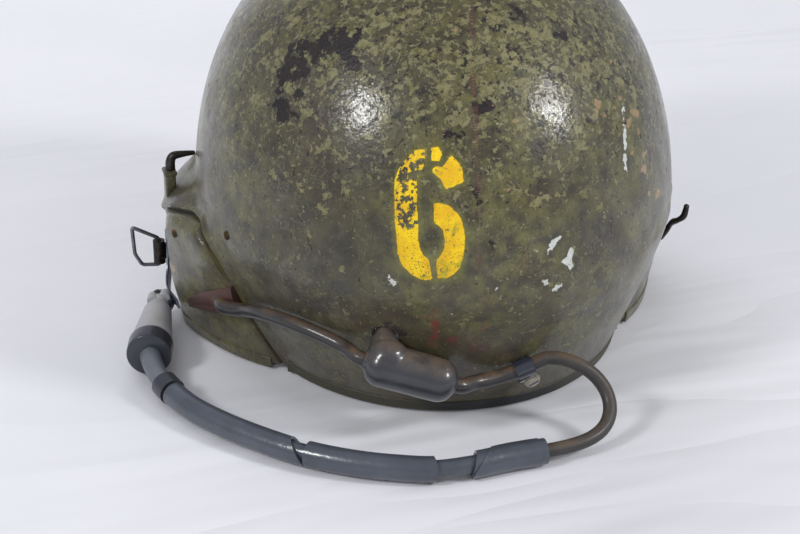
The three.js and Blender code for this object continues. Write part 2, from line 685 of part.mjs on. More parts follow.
// Bracket on the left door: strap on the paint, barrel with a bore, and the bail through it
const barrelPlace = { back: -0.35, height: 0.4 };
const barrelFoot = sidePoint(barrelPlace.back, barrelPlace.height);
const barrelAxis = new THREE.Vector3(barrelFoot.x + BARREL_STANDOFF + BARREL_RADIUS, barrelFoot.y, barrelFoot.z);
const STRAP_WAY = [
  { back: -0.36, height: 0.56, width: 5 },
  { back: -0.35, height: 0.4, width: 7 },
  { back: -0.32, height: 0.27, width: 7 },
  { back: -0.24, height: 0.2, width: 6 },
  { back: -0.12, height: 0.19, width: 6 },
];
{
  const centres = STRAP_WAY.map(({ back, height }) => sidePoint(back, height, 3.2 * CLEARANCE));
  const outward = STRAP_WAY.map(({ back, height }) => sidePoint(back, height, 1).sub(sidePoint(back, height)));
  const across = centres.map((point, i) => {
    const before = centres[Math.max(i - 1, 0)];
    const after = centres[Math.min(i + 1, centres.length - 1)];
    return after.clone().sub(before).cross(outward[i]).normalize();
  });
  const widths = STRAP_WAY.map(({ width }) => width);
  addPiece('bracket_strap', strip(centres, across, outward, widths, centres.map(() => STRAP_THICKNESS)), 'zinc');
}
{
  const bore = WIRE_RADIUS + CLEARANCE;
  const sides = 12;
  const half = BARREL_LENGTH / 2;
  const ringAt = (radius, z) => Array.from({ length: sides }, (_, k) => {
    const turn = (2 * Math.PI * k) / sides;
    return new THREE.Vector3(
      barrelAxis.x + radius * Math.cos(turn),
      barrelAxis.y + radius * Math.sin(turn),
      barrelAxis.z + z,
    );
  });
  const loops = [ringAt(bore, -half), ringAt(BARREL_RADIUS, -half), ringAt(BARREL_RADIUS, half), ringAt(bore, half)];
  const barrel = ringSolid(loops, true);
  const inner = barrelFoot.x + 8 * CLEARANCE + 1.3 * STRAP_THICKNESS;
  const lug = new THREE.BoxGeometry(barrelAxis.x - BARREL_RADIUS + 0.5 - inner, 3, 0.7 * BARREL_LENGTH);
  lug.translate((barrelAxis.x - BARREL_RADIUS + 0.5 + inner) / 2, barrelAxis.y, barrelAxis.z);
  addPiece('bail_barrel', join(barrel, lug), 'darkMetal');
}
{
  const half = BARREL_LENGTH / 2 + WIRE_RADIUS + CLEARANCE;
  // Corners of the bail in its own plane: out from the barrel axis and up from its middle
  const corners = [[0, -half], [0, half], [BAIL_REACH, half + 8], [BAIL_REACH - 0.8, 0], [BAIL_REACH - 4.4, -half + 1]];
  const rings = [];
  const sides = 6;
  const count = corners.length;
  corners.forEach(([out, up], i) => {
    const before = corners[(i + count - 1) % count];
    const after = corners[(i + 1) % count];
    for (const near of [before, after]) {
      const share = BAIL_CORNER / Math.hypot(near[0] - out, near[1] - up);
      const centre = [out + (near[0] - out) * share, up + (near[1] - up) * share];
      const along = new THREE.Vector2(after[0] - before[0], after[1] - before[1]);
      if (near === before) along.set(2 * (out - before[0]) + after[0] - out, 2 * (up - before[1]) + after[1] - up);
      else along.set(out - before[0] + 2 * (after[0] - out), up - before[1] + 2 * (after[1] - up));
      along.normalize();
      rings.push(Array.from({ length: sides }, (_, k) => {
        const turn = (2 * Math.PI * k) / sides;
        const flat = WIRE_RADIUS * Math.cos(turn);
        return new THREE.Vector3(
          barrelAxis.x + centre[0] - along.y * flat,
          barrelAxis.y + WIRE_RADIUS * Math.sin(turn),
          barrelAxis.z + centre[1] + along.x * flat,
        );
      }));
    }
  });
  addPiece('wire_bail', ringSolid(rings, true), 'steel');
}

// Small dark hook on the right door
{
  const hookWay = [
    { back: -0.01, height: 0.36, lift: HOOK_RADIUS + CLEARANCE },
    { back: 0.02, height: 0.43, lift: 4.2 },
    { back: 0.055, height: 0.5, lift: 6.6 },
    { back: 0.1, height: 0.56, lift: 10.4 },
    { back: 0.13, height: 0.62, lift: 14.4 },
    { back: 0.145, height: 0.69, lift: 15.4 },
  ];
  const points = hookWay.map(({ back, height, lift }) => sidePoint(back, height, lift, -1));
  addPiece('side_hook', tube(curveThrough(points), HOOK_RADIUS, 8, 10), 'darkMetal');
}

// Fixed cables with the moulded junction between them
const axisWay = junctionEnds[1].clone().sub(junctionEnds[0]);
const junctionLength = axisWay.length();
const capsule = [[-JUNCTION_NOSE - 0.6, 4]];
for (const turn of [35, 60, 90]) {
  const angle = THREE.MathUtils.degToRad(turn);
  capsule.push([-JUNCTION_NOSE * Math.cos(angle), JUNCTION_RADIUS * Math.sin(angle)]);
}
for (const turn of [90, 60, 35]) {
  const angle = THREE.MathUtils.degToRad(turn);
  capsule.push([junctionLength + JUNCTION_NOSE * Math.cos(angle), JUNCTION_RADIUS * Math.sin(angle)]);
}
capsule.push([junctionLength + JUNCTION_NOSE, 3.8]);
const capsuleBody = turned(junctionEnds[0], junctionEnds[1], capsule, 18);
const stubBody = tube(stubCurve, STUB_RADIUS, 12, 6);
addPiece('junction', join(capsuleBody, stubBody), 'rubber');
const axisUnit = axisWay.clone().normalize();
const capsuleStart = junctionEnds[0].clone().addScaledVector(axisUnit, -JUNCTION_NOSE - 0.6 - CLEARANCE);
const capsuleEnd = junctionEnds[1].clone().addScaledVector(axisUnit, JUNCTION_NOSE + CLEARANCE);
const lead = (point, axis, distance) => point.clone().addScaledVector(axis, distance);
const bootAxis = bootExit.clone().sub(bootInside).normalize();
const earPoints = [
  lead(bootExit, bootAxis, CLEARANCE), lead(bootExit, bootAxis, 2.5), ...EAR_CABLE.map(napePoint),
  lead(capsuleStart, axisUnit, -3), capsuleStart,
];
addPiece('ear_cable', tube(curveThrough(earPoints), EAR_CABLE_RADIUS, 10, 18), 'cordRubber');
const bootLength = bootExit.distanceTo(bootInside);
const bootProfile = [[0, 5], [0.6 * bootLength, 4.9], [bootLength, 4]];
addPiece('cable_boot', turned(bootInside, bootExit, bootProfile, 12), 'boot');
const napePoints = [capsuleEnd, lead(capsuleEnd, axisUnit, 3), ...NAPE_CABLE.map(napePoint)];
const napeCurve = curveThrough(napePoints);
addPiece('nape_cable', tube(napeCurve, CABLE_RADIUS, 10, 14), 'rubber');

// Band clamp round the nape cable, and its screw
{
  const centre = napePoint(CLAMP_PLACE);
  let nearest = 0;
  for (let i = 0; i <= 200; i++) {
    const here = napeCurve.getPointAt(i / 200).distanceTo(centre);
    if (here < napeCurve.getPointAt(nearest).distanceTo(centre)) nearest = i / 200;
  }
  const middle = napeCurve.getPointAt(nearest);
  const along = napeCurve.getTangentAt(nearest);
  const normal = outerNormal(THREE.MathUtils.degToRad(CLAMP_PLACE.angle), CLAMP_PLACE.height * WIDEST_HEIGHT);
  const side = along.clone().cross(normal).normalize();
  const face = side.clone().cross(along).normalize();
  const bore = CABLE_RADIUS + 2 * CLEARANCE;
  const sides = 16;
  const ringAt = (radius, x) => Array.from({ length: sides }, (_, k) => {
    const turn = (2 * Math.PI * k) / sides;
    return middle.clone().addScaledVector(along, x)
      .addScaledVector(side, radius * Math.cos(turn))
      .addScaledVector(face, radius * Math.sin(turn));
  });
  const half = CLAMP_LENGTH / 2;
  const loops = [ringAt(bore, -half), ringAt(bore + CLAMP_WALL, -half), ringAt(bore + CLAMP_WALL, half),
    ringAt(bore, half)];
  addPiece('cable_clamp', ringSolid(loops, true), 'darkMetal');
}
{
  const start = napePoint({ ...SCREW_PLACE, lift: CLEARANCE });
  const towards = napePoint({ ...SCREW_PLACE, lift: 6 });
  const head = [[0, 3.6], [1.6, 3.5], [2.3, 2.6], [2.6, 1]];
  const slot = new THREE.BoxGeometry(0.9, 9, 1.6);
  const axis = towards.clone().sub(start).normalize();
  slot.translate(0, 0, 2.4);
  slot.applyQuaternion(new THREE.Quaternion().setFromUnitVectors(UP, axis));
  slot.translate(start.x, start.y, start.z);
  addPiece('clamp_screw', cut(turned(start, towards, head, 14), slot), 'nickel');
}

// Free cord: bare at the loop, then in sleeves along the floor to the plug
function vectors(rows) {
  return rows.map(([x, y, z]) => new THREE.Vector3(x, y, z));
}

const napeEnd = napeCurve.getPointAt(1);
const exitAxis = napeCurve.getTangentAt(1);
const cordPoints = [lead(napeEnd, exitAxis, CLEARANCE), lead(napeEnd, exitAxis, 3), ...vectors(CORD_ROUTE)];
addPiece('cord', tube(curveThrough(cordPoints), CABLE_RADIUS, 10, 18), 'cordRubber');
const sleeveCurve = curveThrough(vectors(SLEEVE_ROUTE));
const sleeveLength = sleeveCurve.getLength();
for (const { name, from, to, radius } of SLEEVES) {
  const gap = (2 * CLEARANCE) / sleeveLength;
  const length = (to - from) * sleeveLength;
  const steps = Math.max(2, Math.round(length / 14));
  const piece = curvePart(sleeveCurve, from + gap, to, 3 * steps);
  addPiece(name, tube(piece, radius, 12, steps), name === 'cord_core' ? 'cordRubber' : 'vinyl');
}
const tailCurve = curveThrough(vectors(TAIL_ROUTE));
const tailGap = 0.02;
addPiece('sleeve_band', tube(curvePart(tailCurve, tailGap, 0.26, 4), BAND_RADIUS, 12, 3), 'binding');
addPiece('strain_relief', tube(curvePart(tailCurve, 0.28, 0.84, 8), CORE_RADIUS + 0.6, 12, 4), 'cordRubber');

// Plug: dark collar, tapered grey body, neck with two tabs and a dark tip
const [collarSpot, bodySpot, tipSpot] = vectors(PLUG_AXIS);
{
  const length = collarSpot.distanceTo(tipSpot);
  addPiece('plug_collar', turned(collarSpot, bodySpot, [[-4, 8], [-3, COLLAR_RADIUS], [8, COLLAR_RADIUS], [9, 10]], 18), 'binding');
  const body = [[9 + CLEARANCE, PLUG_RADIUS], [16, PLUG_RADIUS - 0.3], [30, 8.6], [44, 7.4], [46, 6.6]];
  addPiece('plug_body', turned(collarSpot, bodySpot, body, 18), 'plug');
  const axis = bodySpot.clone().sub(collarSpot).normalize();
  const at = (d) => collarSpot.clone().addScaledVector(axis, d);
  addPiece('plug_neck', turned(at(46 + CLEARANCE), at(60), [[0, 5.6], [9, 5.4], [10, 4.6]], 14), 'plug');
  addPiece('plug_tip', turned(at(56.6 + CLEARANCE), at(length), [[0, 4], [6, 4], [7, 3]], 14), 'darkMetal');
}

// The frame's origin is under the middle of everything but the free cord
const box = new THREE.Box3();
for (const piece of helmet.children) {
  if (!CORD_PIECES.has(piece.name)) box.expandByObject(piece);
}
const middle = box.getCenter(new THREE.Vector3());
helmet.position.set(-middle.x, -middle.y, 0);

export default helmet;
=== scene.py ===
"""Looks of the tanker helmet: dense surfaces, cables, hardware, materials, light and camera."""

import math

import bmesh
import bpy
import numpy as np
from mathutils import Matrix, Vector


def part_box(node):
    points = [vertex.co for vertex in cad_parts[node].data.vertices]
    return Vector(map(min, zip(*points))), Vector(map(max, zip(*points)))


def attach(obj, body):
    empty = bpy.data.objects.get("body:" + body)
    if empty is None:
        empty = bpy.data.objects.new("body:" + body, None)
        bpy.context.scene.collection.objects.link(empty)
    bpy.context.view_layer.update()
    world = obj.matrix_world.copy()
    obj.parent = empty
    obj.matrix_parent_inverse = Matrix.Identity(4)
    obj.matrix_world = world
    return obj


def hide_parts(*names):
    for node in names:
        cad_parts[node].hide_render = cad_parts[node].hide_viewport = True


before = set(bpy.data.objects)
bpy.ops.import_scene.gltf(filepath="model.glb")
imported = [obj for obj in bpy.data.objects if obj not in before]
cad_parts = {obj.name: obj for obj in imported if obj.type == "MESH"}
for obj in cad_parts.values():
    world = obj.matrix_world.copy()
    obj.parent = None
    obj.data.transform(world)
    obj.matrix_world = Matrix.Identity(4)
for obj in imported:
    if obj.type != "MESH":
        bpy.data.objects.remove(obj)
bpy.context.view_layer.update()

# Sizes in millimetres, in the helmet's own frame: +X the wearer's left, +Y the rear, Z = 0 the floor
HALF_WIDTH, HALF_LENGTH, WIDEST, CROWN_RISE = 122.3, 138.0, 76.0, 146.0
CROWN_FULLNESS, RIM_TUCK, TUCK_CURVE, WALL = 2.13, 27.4, 1.22, 4.0
EAR_HALF_WIDTH, EAR_LEAN, STEEP_BACK, STEEP_FRONT = 137.0, 8.0, 1.4, 1.8
RIM_LIFT, HOLE_RADIUS = 3.5, 6.6
PAD_CENTRE, PAD_RADIUS, PAD_BORE, PAD_FACE = (-0.13 * HALF_LENGTH, 0.54 * WIDEST), 30.0, 15.0, 86.0
CABLE_RADIUS, SLEEVE_RADIUS, SLEEVE_WALL, CORE_RADIUS = 3.4, 6.25, 1.3, 4.3
DOOR_GAP, DOOR_GAP_INSIDE, BINDING_WALL, BINDING_DEPTH = 1.6, 0.15, 0.8, 3.4
LIP_RISE, LIP_SPREAD, SEAM_DEPTH, ROLL_WIDTH, ROLL_RISE = 1.1, 0.4, 0.9, 4.6, 4.2

# The two ear pads are mirror images, so their boxes give the middle plane and the frame's shift
PAD_BOXES = [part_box("ear_pad_left"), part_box("ear_pad_right")]
OFFSET = np.array([
    500 * (PAD_BOXES[0][0][0] + PAD_BOXES[1][1][0]),
    500 * (PAD_BOXES[0][0][1] + PAD_BOXES[0][1][1]) - PAD_CENTRE[0],
    0.0,
])

# Edge of the left ear opening and of the brow: share of the half length behind the middle, share of WIDEST
OPENING = [
    (0.329, 0.046), (0.310, 0.17), (0.275, 0.38), (0.235, 0.60), (0.166, 0.885), (0.088, 0.975),
    (0.000, 0.965), (-0.140, 0.91), (-0.275, 0.81), (-0.390, 0.67), (-0.475, 0.53),
]
REAR_SEAM_POINTS = 5
BROW = [
    (-0.530, 0.78), (-0.577, 0.94), (-0.625, 1.08), (-0.682, 1.22), (-0.740, 1.33), (-0.797, 1.42),
    (-0.850, 1.49), (-0.895, 1.535), (-0.930, 1.562),
]
BROW_HEIGHT = 1.58
DOOR_FOOT = [
    (0.329, 0.046), (0.200, 0.046), (0.060, 0.046), (-0.090, 0.046), (-0.240, 0.046),
    (-0.350, 0.052), (-0.440, 0.15),
]
DOOR_FRONT = [(-0.440, 0.15), (-0.475, 0.29), (-0.475, 0.53)]

# Cable routes over the shell: angle from the rear in degrees, share of WIDEST, distance from the paint;
# the boot's two places are side places: share of the half length behind the middle, share of WIDEST, distance
EAR_CABLE = [
    (71.5, 0.5, 6.2), (66, 0.57, 5.8), (58.7, 0.628, 5.2), (49.4, 0.651, 4.9), (41.6, 0.62, 5.0),
    (37.2, 0.6, 6.2),
]
BOOT_INSIDE, BOOT_EXIT = (0.125, 0.41, -5.5), (0.198, 0.46, 4.6)
JUNCTION = [(27.9, 0.59, 11.8), (15.8, 0.487, 11.6)]
STUB = [(28.8, 0.70, -7), (28.2, 0.655, 3.4), (27.3, 0.628, 8)]
NAPE_CABLE = [
    (8.2, 0.42, 9.4), (5.2, 0.402, 7.6), (0.5, 0.395, 5.6), (-3.6, 0.415, 5.0), (-8, 0.46, 5.0),
    (-10.6, 0.483, 5.2),
]
CLAMP_PLACE = (-5.6, 0.434, 5.0)
SCREW_PLACE = (-8.7, 0.305)
HOLE_PLACE = (28.3, 0.68, 0)

# Free cord: centre line from the clamp to the plug
CORD_ROUTE = [
    (-31, 132.3, 35.6), (-38, 134.2, 32.2), (-43.6, 136.8, 28), (-47.4, 140.6, 22.8),
    (-48.8, 145.2, 17.8), (-47.4, 150.2, 13.2), (-43.4, 155.2, 9.9), (-37, 159.2, 7.8),
    (-28.5, 161.8, 6.7), (-19.5, 163.1, 6.35), (-10.5, 163.7, 6.3),
]
SLEEVE_ROUTE = [
    (-10.5, 163.7, 6.3), (6, 164.2, 6.3), (26, 166.3, 6.3), (45, 165.8, 6.3), (60, 160.6, 6.3),
    (75, 153.5, 6.3), (90, 144, 6.3), (104, 132.6, 6.3), (118, 117.8, 6.3), (132, 100.2, 6.3),
    (143.4, 82, 6.3), (150.6, 64.5, 6.4),
]
TAIL_ROUTE = [
    (150.6, 64.5, 6.9), (153.4, 56, 7.6), (155.8, 46.5, 9.2), (156.8, 37.5, 11.2), (156.6, 29, 11.9),
]
PLUG_AXIS = np.array([(156.6, 29, 11.9), (147.5, -6, 11.9)])
PLUG_THROAT, PLUG_END, PLUG_TABS = 46.3, 56.9, 52

# Camera: place and look direction in the helmet's frame, focal length in pixels, picture in pixels, sensor in mm
EYE = np.array([276.98, 965.97, 523.41])
LOOK = np.array([-0.23287, -0.86547, -0.44354])
FOCAL_PIXELS, PICTURE = 2099.0, (800, 534)
SENSOR = 36.0


# Numbers and curves

def metres(points):
    """Points of the helmet's own frame, in the shared frame's metres."""
    return (np.asarray(points, float) + OFFSET) / 1000


def solid_corners(node):
    """Low and high corner of a solid's box, in the helmet's own frame."""
    return [np.array(corner) * 1000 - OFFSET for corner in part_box(node)]


def ease(t):
    t = np.clip(t, 0, 1)
    return t * t * (3 - 2 * t)


def bell(distance, width, power=2):
    return np.exp(-(distance / width) ** power)


def squared(v, power):
    """Cosine or sine of a ring, pushed out towards a square."""
    return np.sign(v) * np.abs(v) ** power


def circle(count):
    return np.linspace(0, 2 * math.pi, count, endpoint=False)


def unit(v):
    return v / np.maximum(np.linalg.norm(v, axis=-1, keepdims=True), 1e-9)


def curve(points, count=200):
    """Centripetal spline through points, sampled at even lengths."""
    p = np.array(points, float)
    p = np.vstack([2 * p[0] - p[1], p, 2 * p[-1] - p[-2]])
    out = []
    for i in range(1, len(p) - 2):
        knots = [0.0]
        for k in range(3):
            knots.append(knots[-1] + max(np.linalg.norm(p[i + k] - p[i + k - 1]), 1e-6) ** 0.5)
        t = np.linspace(knots[1], knots[2], 24, endpoint=False)[:, None]

        def between(first, last, a, b):
            low, high = knots[first], knots[last]
            return (high - t) / (high - low) * a + (t - low) / (high - low) * b

        a = [between(k, k + 1, p[i + k - 1], p[i + k]) for k in range(3)]
        b = [between(k, k + 2, a[k], a[k + 1]) for k in range(2)]
        out.append(between(1, 2, *b))
    return even(np.vstack(out + [p[-2:-1]]), count)


def even(points, count):
    """The same line with its points at even lengths."""
    steps = np.concatenate([[0], np.cumsum(np.linalg.norm(np.diff(points, axis=0), axis=1))])
    at = np.linspace(0, steps[-1], count)
    return np.stack([np.interp(at, steps, points[:, k]) for k in range(points.shape[1])], -1)


def relax(points, rounds):
    """The same line with its kinks eased and its two points at each end kept."""
    p = points.copy()
    for _ in range(rounds):
        p[2:-2] = 0.25 * p[1:-3] + 0.5 * p[2:-2] + 0.25 * p[3:-1]
    return p


def line_length(points):
    return float(np.linalg.norm(np.diff(points, axis=0), axis=1).sum())


def nearest(points, line):
    """Distance from each point to a finely sampled line."""
    out = np.empty(len(points))
    for i in range(0, len(points), 4000):
        block = points[i:i + 4000, None, :] - line[None, :, :]
        out[i:i + 4000] = np.sqrt((block ** 2).sum(-1).min(1))
    return out


# Helmet surface

def section_share(z):
    rise = np.clip((z - WIDEST) / CROWN_RISE, 0, 1)
    drop = np.clip((WIDEST - z) / WIDEST, 0, 1.2)
    dome = (1 - rise ** CROWN_FULLNESS) ** (1 / CROWN_FULLNESS)
    return np.where(z >= WIDEST, dome, 1 - RIM_TUCK / HALF_WIDTH * drop ** TUCK_CURVE)


def bulge_share(y, z):
    foot = HALF_LENGTH * (0.362 - 0.116 * np.clip(z / WIDEST / 0.87, 0, 1))
    peak, front = -0.16 * HALF_LENGTH, -0.725 * HALF_LENGTH
    back = np.clip((foot - y) / (foot - peak), 0, 1)
    fore = np.clip((y - front) / (peak - front), 0, 1)
    limit = 1.04 + 0.09 * ease((2 - y) / 22)
    top = ease((limit * WIDEST - z) / ((limit - 0.83) * WIDEST))
    return (1 - (1 - back) ** STEEP_BACK) * (1 - (1 - fore) ** STEEP_FRONT) * top


def outer(u, z):
    u, z = np.broadcast_arrays(np.asarray(u, float), np.asarray(z, float))
    share = section_share(z)
    x, y = HALF_WIDTH * share * np.sin(u), HALF_LENGTH * share * np.cos(u)
    flare = 0.63 * WIDEST
    ear = EAR_HALF_WIDTH - EAR_LEAN * np.clip((flare - z) / flare, 0, 1) ** 2
    side = np.where(np.abs(np.sin(u)) > 0.3, np.maximum(ear - np.abs(x), 0) * bulge_share(y, z), 0)
    return np.stack([x + np.sign(x) * side, y, z], -1)


def normal(u, z):
    top = WIDEST + CROWN_RISE
    z = np.asarray(z, float)
    across = outer(u + 0.003, z) - outer(u - 0.003, z)
    along = outer(u, np.minimum(z + 0.4, top)) - outer(u, z - 0.4)
    n = unit(np.cross(along, across))
    return np.where((z > top - 0.5)[..., None], np.array([0, 0, 1.0]), n)


def off(u, z, lift):
    return outer(u, z) + normal(u, z) * np.asarray(lift, float)[..., None]


def nape(place):
    angle, height, lift = place
    return off(math.radians(angle), height * WIDEST, lift)


def side_angle(y, z):
    return np.arccos(np.clip(y / (HALF_LENGTH * section_share(z)), -1, 1))


def side_point(back, height, lift=0.0, side=1):
    y, z = np.asarray(back, float) * HALF_LENGTH, np.asarray(height, float) * WIDEST
    return off(side_angle(y, z), z, lift) * np.array([side, 1, 1])


def height_at(way):
    dome = WIDEST + CROWN_RISE * np.cos(np.clip(way, 0, 1) * math.pi / 2) ** (2 / CROWN_FULLNESS)
    return np.where(way > 1, WIDEST * (2 - way), dome)


def way_to(z):
    rise = np.clip((z - WIDEST) / CROWN_RISE, 0, 1)
    return np.where(z < WIDEST, 2 - z / WIDEST, 2 / math.pi * np.arccos(rise ** (CROWN_FULLNESS / 2)))


def picture(points):
    """Where points land in the 800 by 534 picture."""
    look = unit(LOOK)
    right = unit(np.cross(look, [0, 0, 1.0]))
    up = np.cross(right, look)
    ray = points - EYE
    depth = ray @ look
    return (PICTURE[0] / 2 + FOCAL_PIXELS * (ray @ right) / depth,
            PICTURE[1] / 2 - FOCAL_PIXELS * (ray @ up) / depth)


# Mesh building

def add_mesh(name, vertices, faces, material, replaces=(), slot=None, body="helmet", sharp=40):
    mesh = bpy.data.meshes.new(name)
    mesh.from_pydata(metres(vertices).tolist(), [], faces)
    mesh.validate()
    mesh.shade_smooth()
    mesh.set_sharp_from_angle(angle=math.radians(sharp))
    mesh.materials.append(material)
    piece = bpy.data.objects.new(name, mesh)
    bpy.context.scene.collection.objects.link(piece)
    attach(piece, body)
    if replaces:
        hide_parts(*replaces)
    return piece


def grid_faces(rows, columns, first=0, around=False, flip=False):
    faces = []
    last = columns if around else columns - 1
    for i in range(rows - 1):
        for j in range(last):
            k = (j + 1) % columns
            a, b = first + i * columns + j, first + i * columns + k
            quad = (a, b, b + columns, a + columns)
            faces.append(quad[::-1] if flip else quad)
    return faces


def edge_strip(a, b, flip=False):
    """Faces between two equal lists of vertex numbers."""
    faces = [(a[i], a[i + 1], b[i + 1], b[i]) for i in range(len(a) - 1)]
    return [f[::-1] for f in faces] if flip else faces


def fix_normals(piece):
    bm = bmesh.new()
    bm.from_mesh(piece.data)
    bmesh.ops.remove_doubles(bm, verts=bm.verts, dist=2e-6)
    bmesh.ops.recalc_face_normals(bm, faces=bm.faces)
    bm.to_mesh(piece.data)
    bm.free()
    piece.data.shade_smooth()
    return piece


def ring_piece(name, rings, material, **options):
    """Closed piece through a row of equal rings, with a cap on each end."""
    rows, columns = rings.shape[:2]
    caps = [tuple(range(columns))[::-1], tuple((rows - 1) * columns + j for j in range(columns))]
    faces = grid_faces(rows, columns, around=True) + caps
    return fix_normals(add_mesh(name, rings.reshape(-1, 3), faces, material, **options))


def wall_piece(name, outside, inside, material, around=False, **options):
    """Solid wall between two grids of points that have equal columns."""
    rows, columns = outside.shape[:2]
    deep = inside.shape[0]
    vertices = np.vstack([outside.reshape(-1, 3), inside.reshape(-1, 3)])
    base = rows * columns
    faces = grid_faces(rows, columns, 0, around) + grid_faces(deep, columns, base, around, True)
    ring = list(range(columns)) + ([0] if around else [])
    low = [(rows - 1) * columns + j for j in ring]
    low_in = [base + (deep - 1) * columns + j for j in ring]
    faces += edge_strip(low, low_in)
    if not around:
        faces += edge_strip(ring, [base + j for j in ring], True)
        for j, flip in ((0, True), (columns - 1, False)):
            a = [i * columns + j for i in range(rows)]
            b = [base + i * columns + j for i in range(deep)]
            faces += edge_strip(a, b, not flip)
    return add_mesh(name, vertices, faces, material, **options)


def frames(path):
    """Directions along and across a path, without twist."""
    along = unit(np.gradient(path, axis=0))
    side = np.cross(along[0], [0, 0, 1.0])
    if np.linalg.norm(side) < 0.1:
        side = np.cross(along[0], [1.0, 0, 0])
    side = unit(side)
    sides = [side]
    for t in along[1:]:
        side = unit(side - t * (side @ t))
        sides.append(side)
    sides = np.array(sides)
    return along, sides, np.cross(along, sides)


def tube(name, path, radius, material, sides=28, dome=True, skew=(0, 0), wall=None, turn=0.0, **options):
    """Round tube on a path with domed or flat ends; skew cuts them obliquely and wall leaves them open."""
    radius = np.broadcast_to(np.asarray(radius, float), len(path)).copy()
    along, side, up = frames(path)
    angles = circle(sides)
    ring = np.cos(angles)[None, :, None] * side[:, None] + np.sin(angles)[None, :, None] * up[:, None]
    grid = path[:, None] + ring * radius[:, None, None]
    total = len(path)
    for end, amount in enumerate(skew):
        if amount:
            reach = np.clip(1 - np.arange(total) / 8, 0, 1)[::-1 if end else 1]
            shift = reach[:, None] * amount * np.cos(angles + turn)[None]
            grid = grid + along[:, None] * shift[..., None]
    if wall:
        inner = grid - ring * wall
        vertices = np.vstack([grid.reshape(-1, 3), inner.reshape(-1, 3)])
        base = total * sides
        faces = grid_faces(total, sides, 0, True) + grid_faces(total, sides, base, True, True)
        loop = list(range(sides)) + [0]
        faces += edge_strip(loop, [base + j for j in loop], True)
        tail = [(total - 1) * sides + j for j in loop]
        faces += edge_strip(tail, [base + j for j in tail])
        return fix_normals(add_mesh(name, vertices, faces, material, **options))
    caps = []
    for end, sign in ((0, -1), (-1, 1)):
        cap = []
        for k in range(1, 5):
            bend = k * math.pi / 10
            scale, reach = (math.cos(bend), 0.6 * math.sin(bend)) if dome else (1 - k / 5, 0)
            cap.append(path[end] + ring[end] * radius[end] * scale + sign * along[end] * radius[end] * reach)
        caps.append(cap)
    rings = np.concatenate([np.array(caps[0][::-1]), grid, np.array(caps[1])])
    return ring_piece(name, rings, material, **options)


def lathe(name, start, towards, profile, material, sides=48, **options):
    """Turned piece; profile holds distance along the axis and radius."""
    start, towards = np.asarray(start, float), np.asarray(towards, float)
    axis = unit(towards - start)
    side = unit(np.cross(axis, [0.3, 0.1, 1.0]))
    up = np.cross(axis, side)
    angles = circle(sides)
    ring = np.cos(angles)[:, None] * side + np.sin(angles)[:, None] * up
    rings = np.stack([start + axis * along + ring * max(r, 1e-3) for along, r in profile])
    return ring_piece(name, rings, material, **options)


def rounded(profile, radius=0.6, steps=4):
    """The same turned profile with its corners rounded."""
    p = np.array(profile, float)
    out = [p[0]]
    for i in range(1, len(p) - 1):
        before, after = p[i - 1] - p[i], p[i + 1] - p[i]
        r = min(radius, np.linalg.norm(before) / 2.2, np.linalg.norm(after) / 2.2)
        a, b = p[i] + unit(before) * r, p[i] + unit(after) * r
        for t in np.linspace(0, 1, steps + 1):
            out.append((1 - t) ** 2 * a + 2 * t * (1 - t) * p[i] + t * t * b)
    out.append(p[-1])
    return [tuple(v) for v in out]


def paint_field(piece, name, values):
    layer = piece.data.attributes.get(name) or piece.data.attributes.new(name, "FLOAT", "POINT")
    layer.data.foreach_set("value", np.asarray(values, np.float32))


# Materials

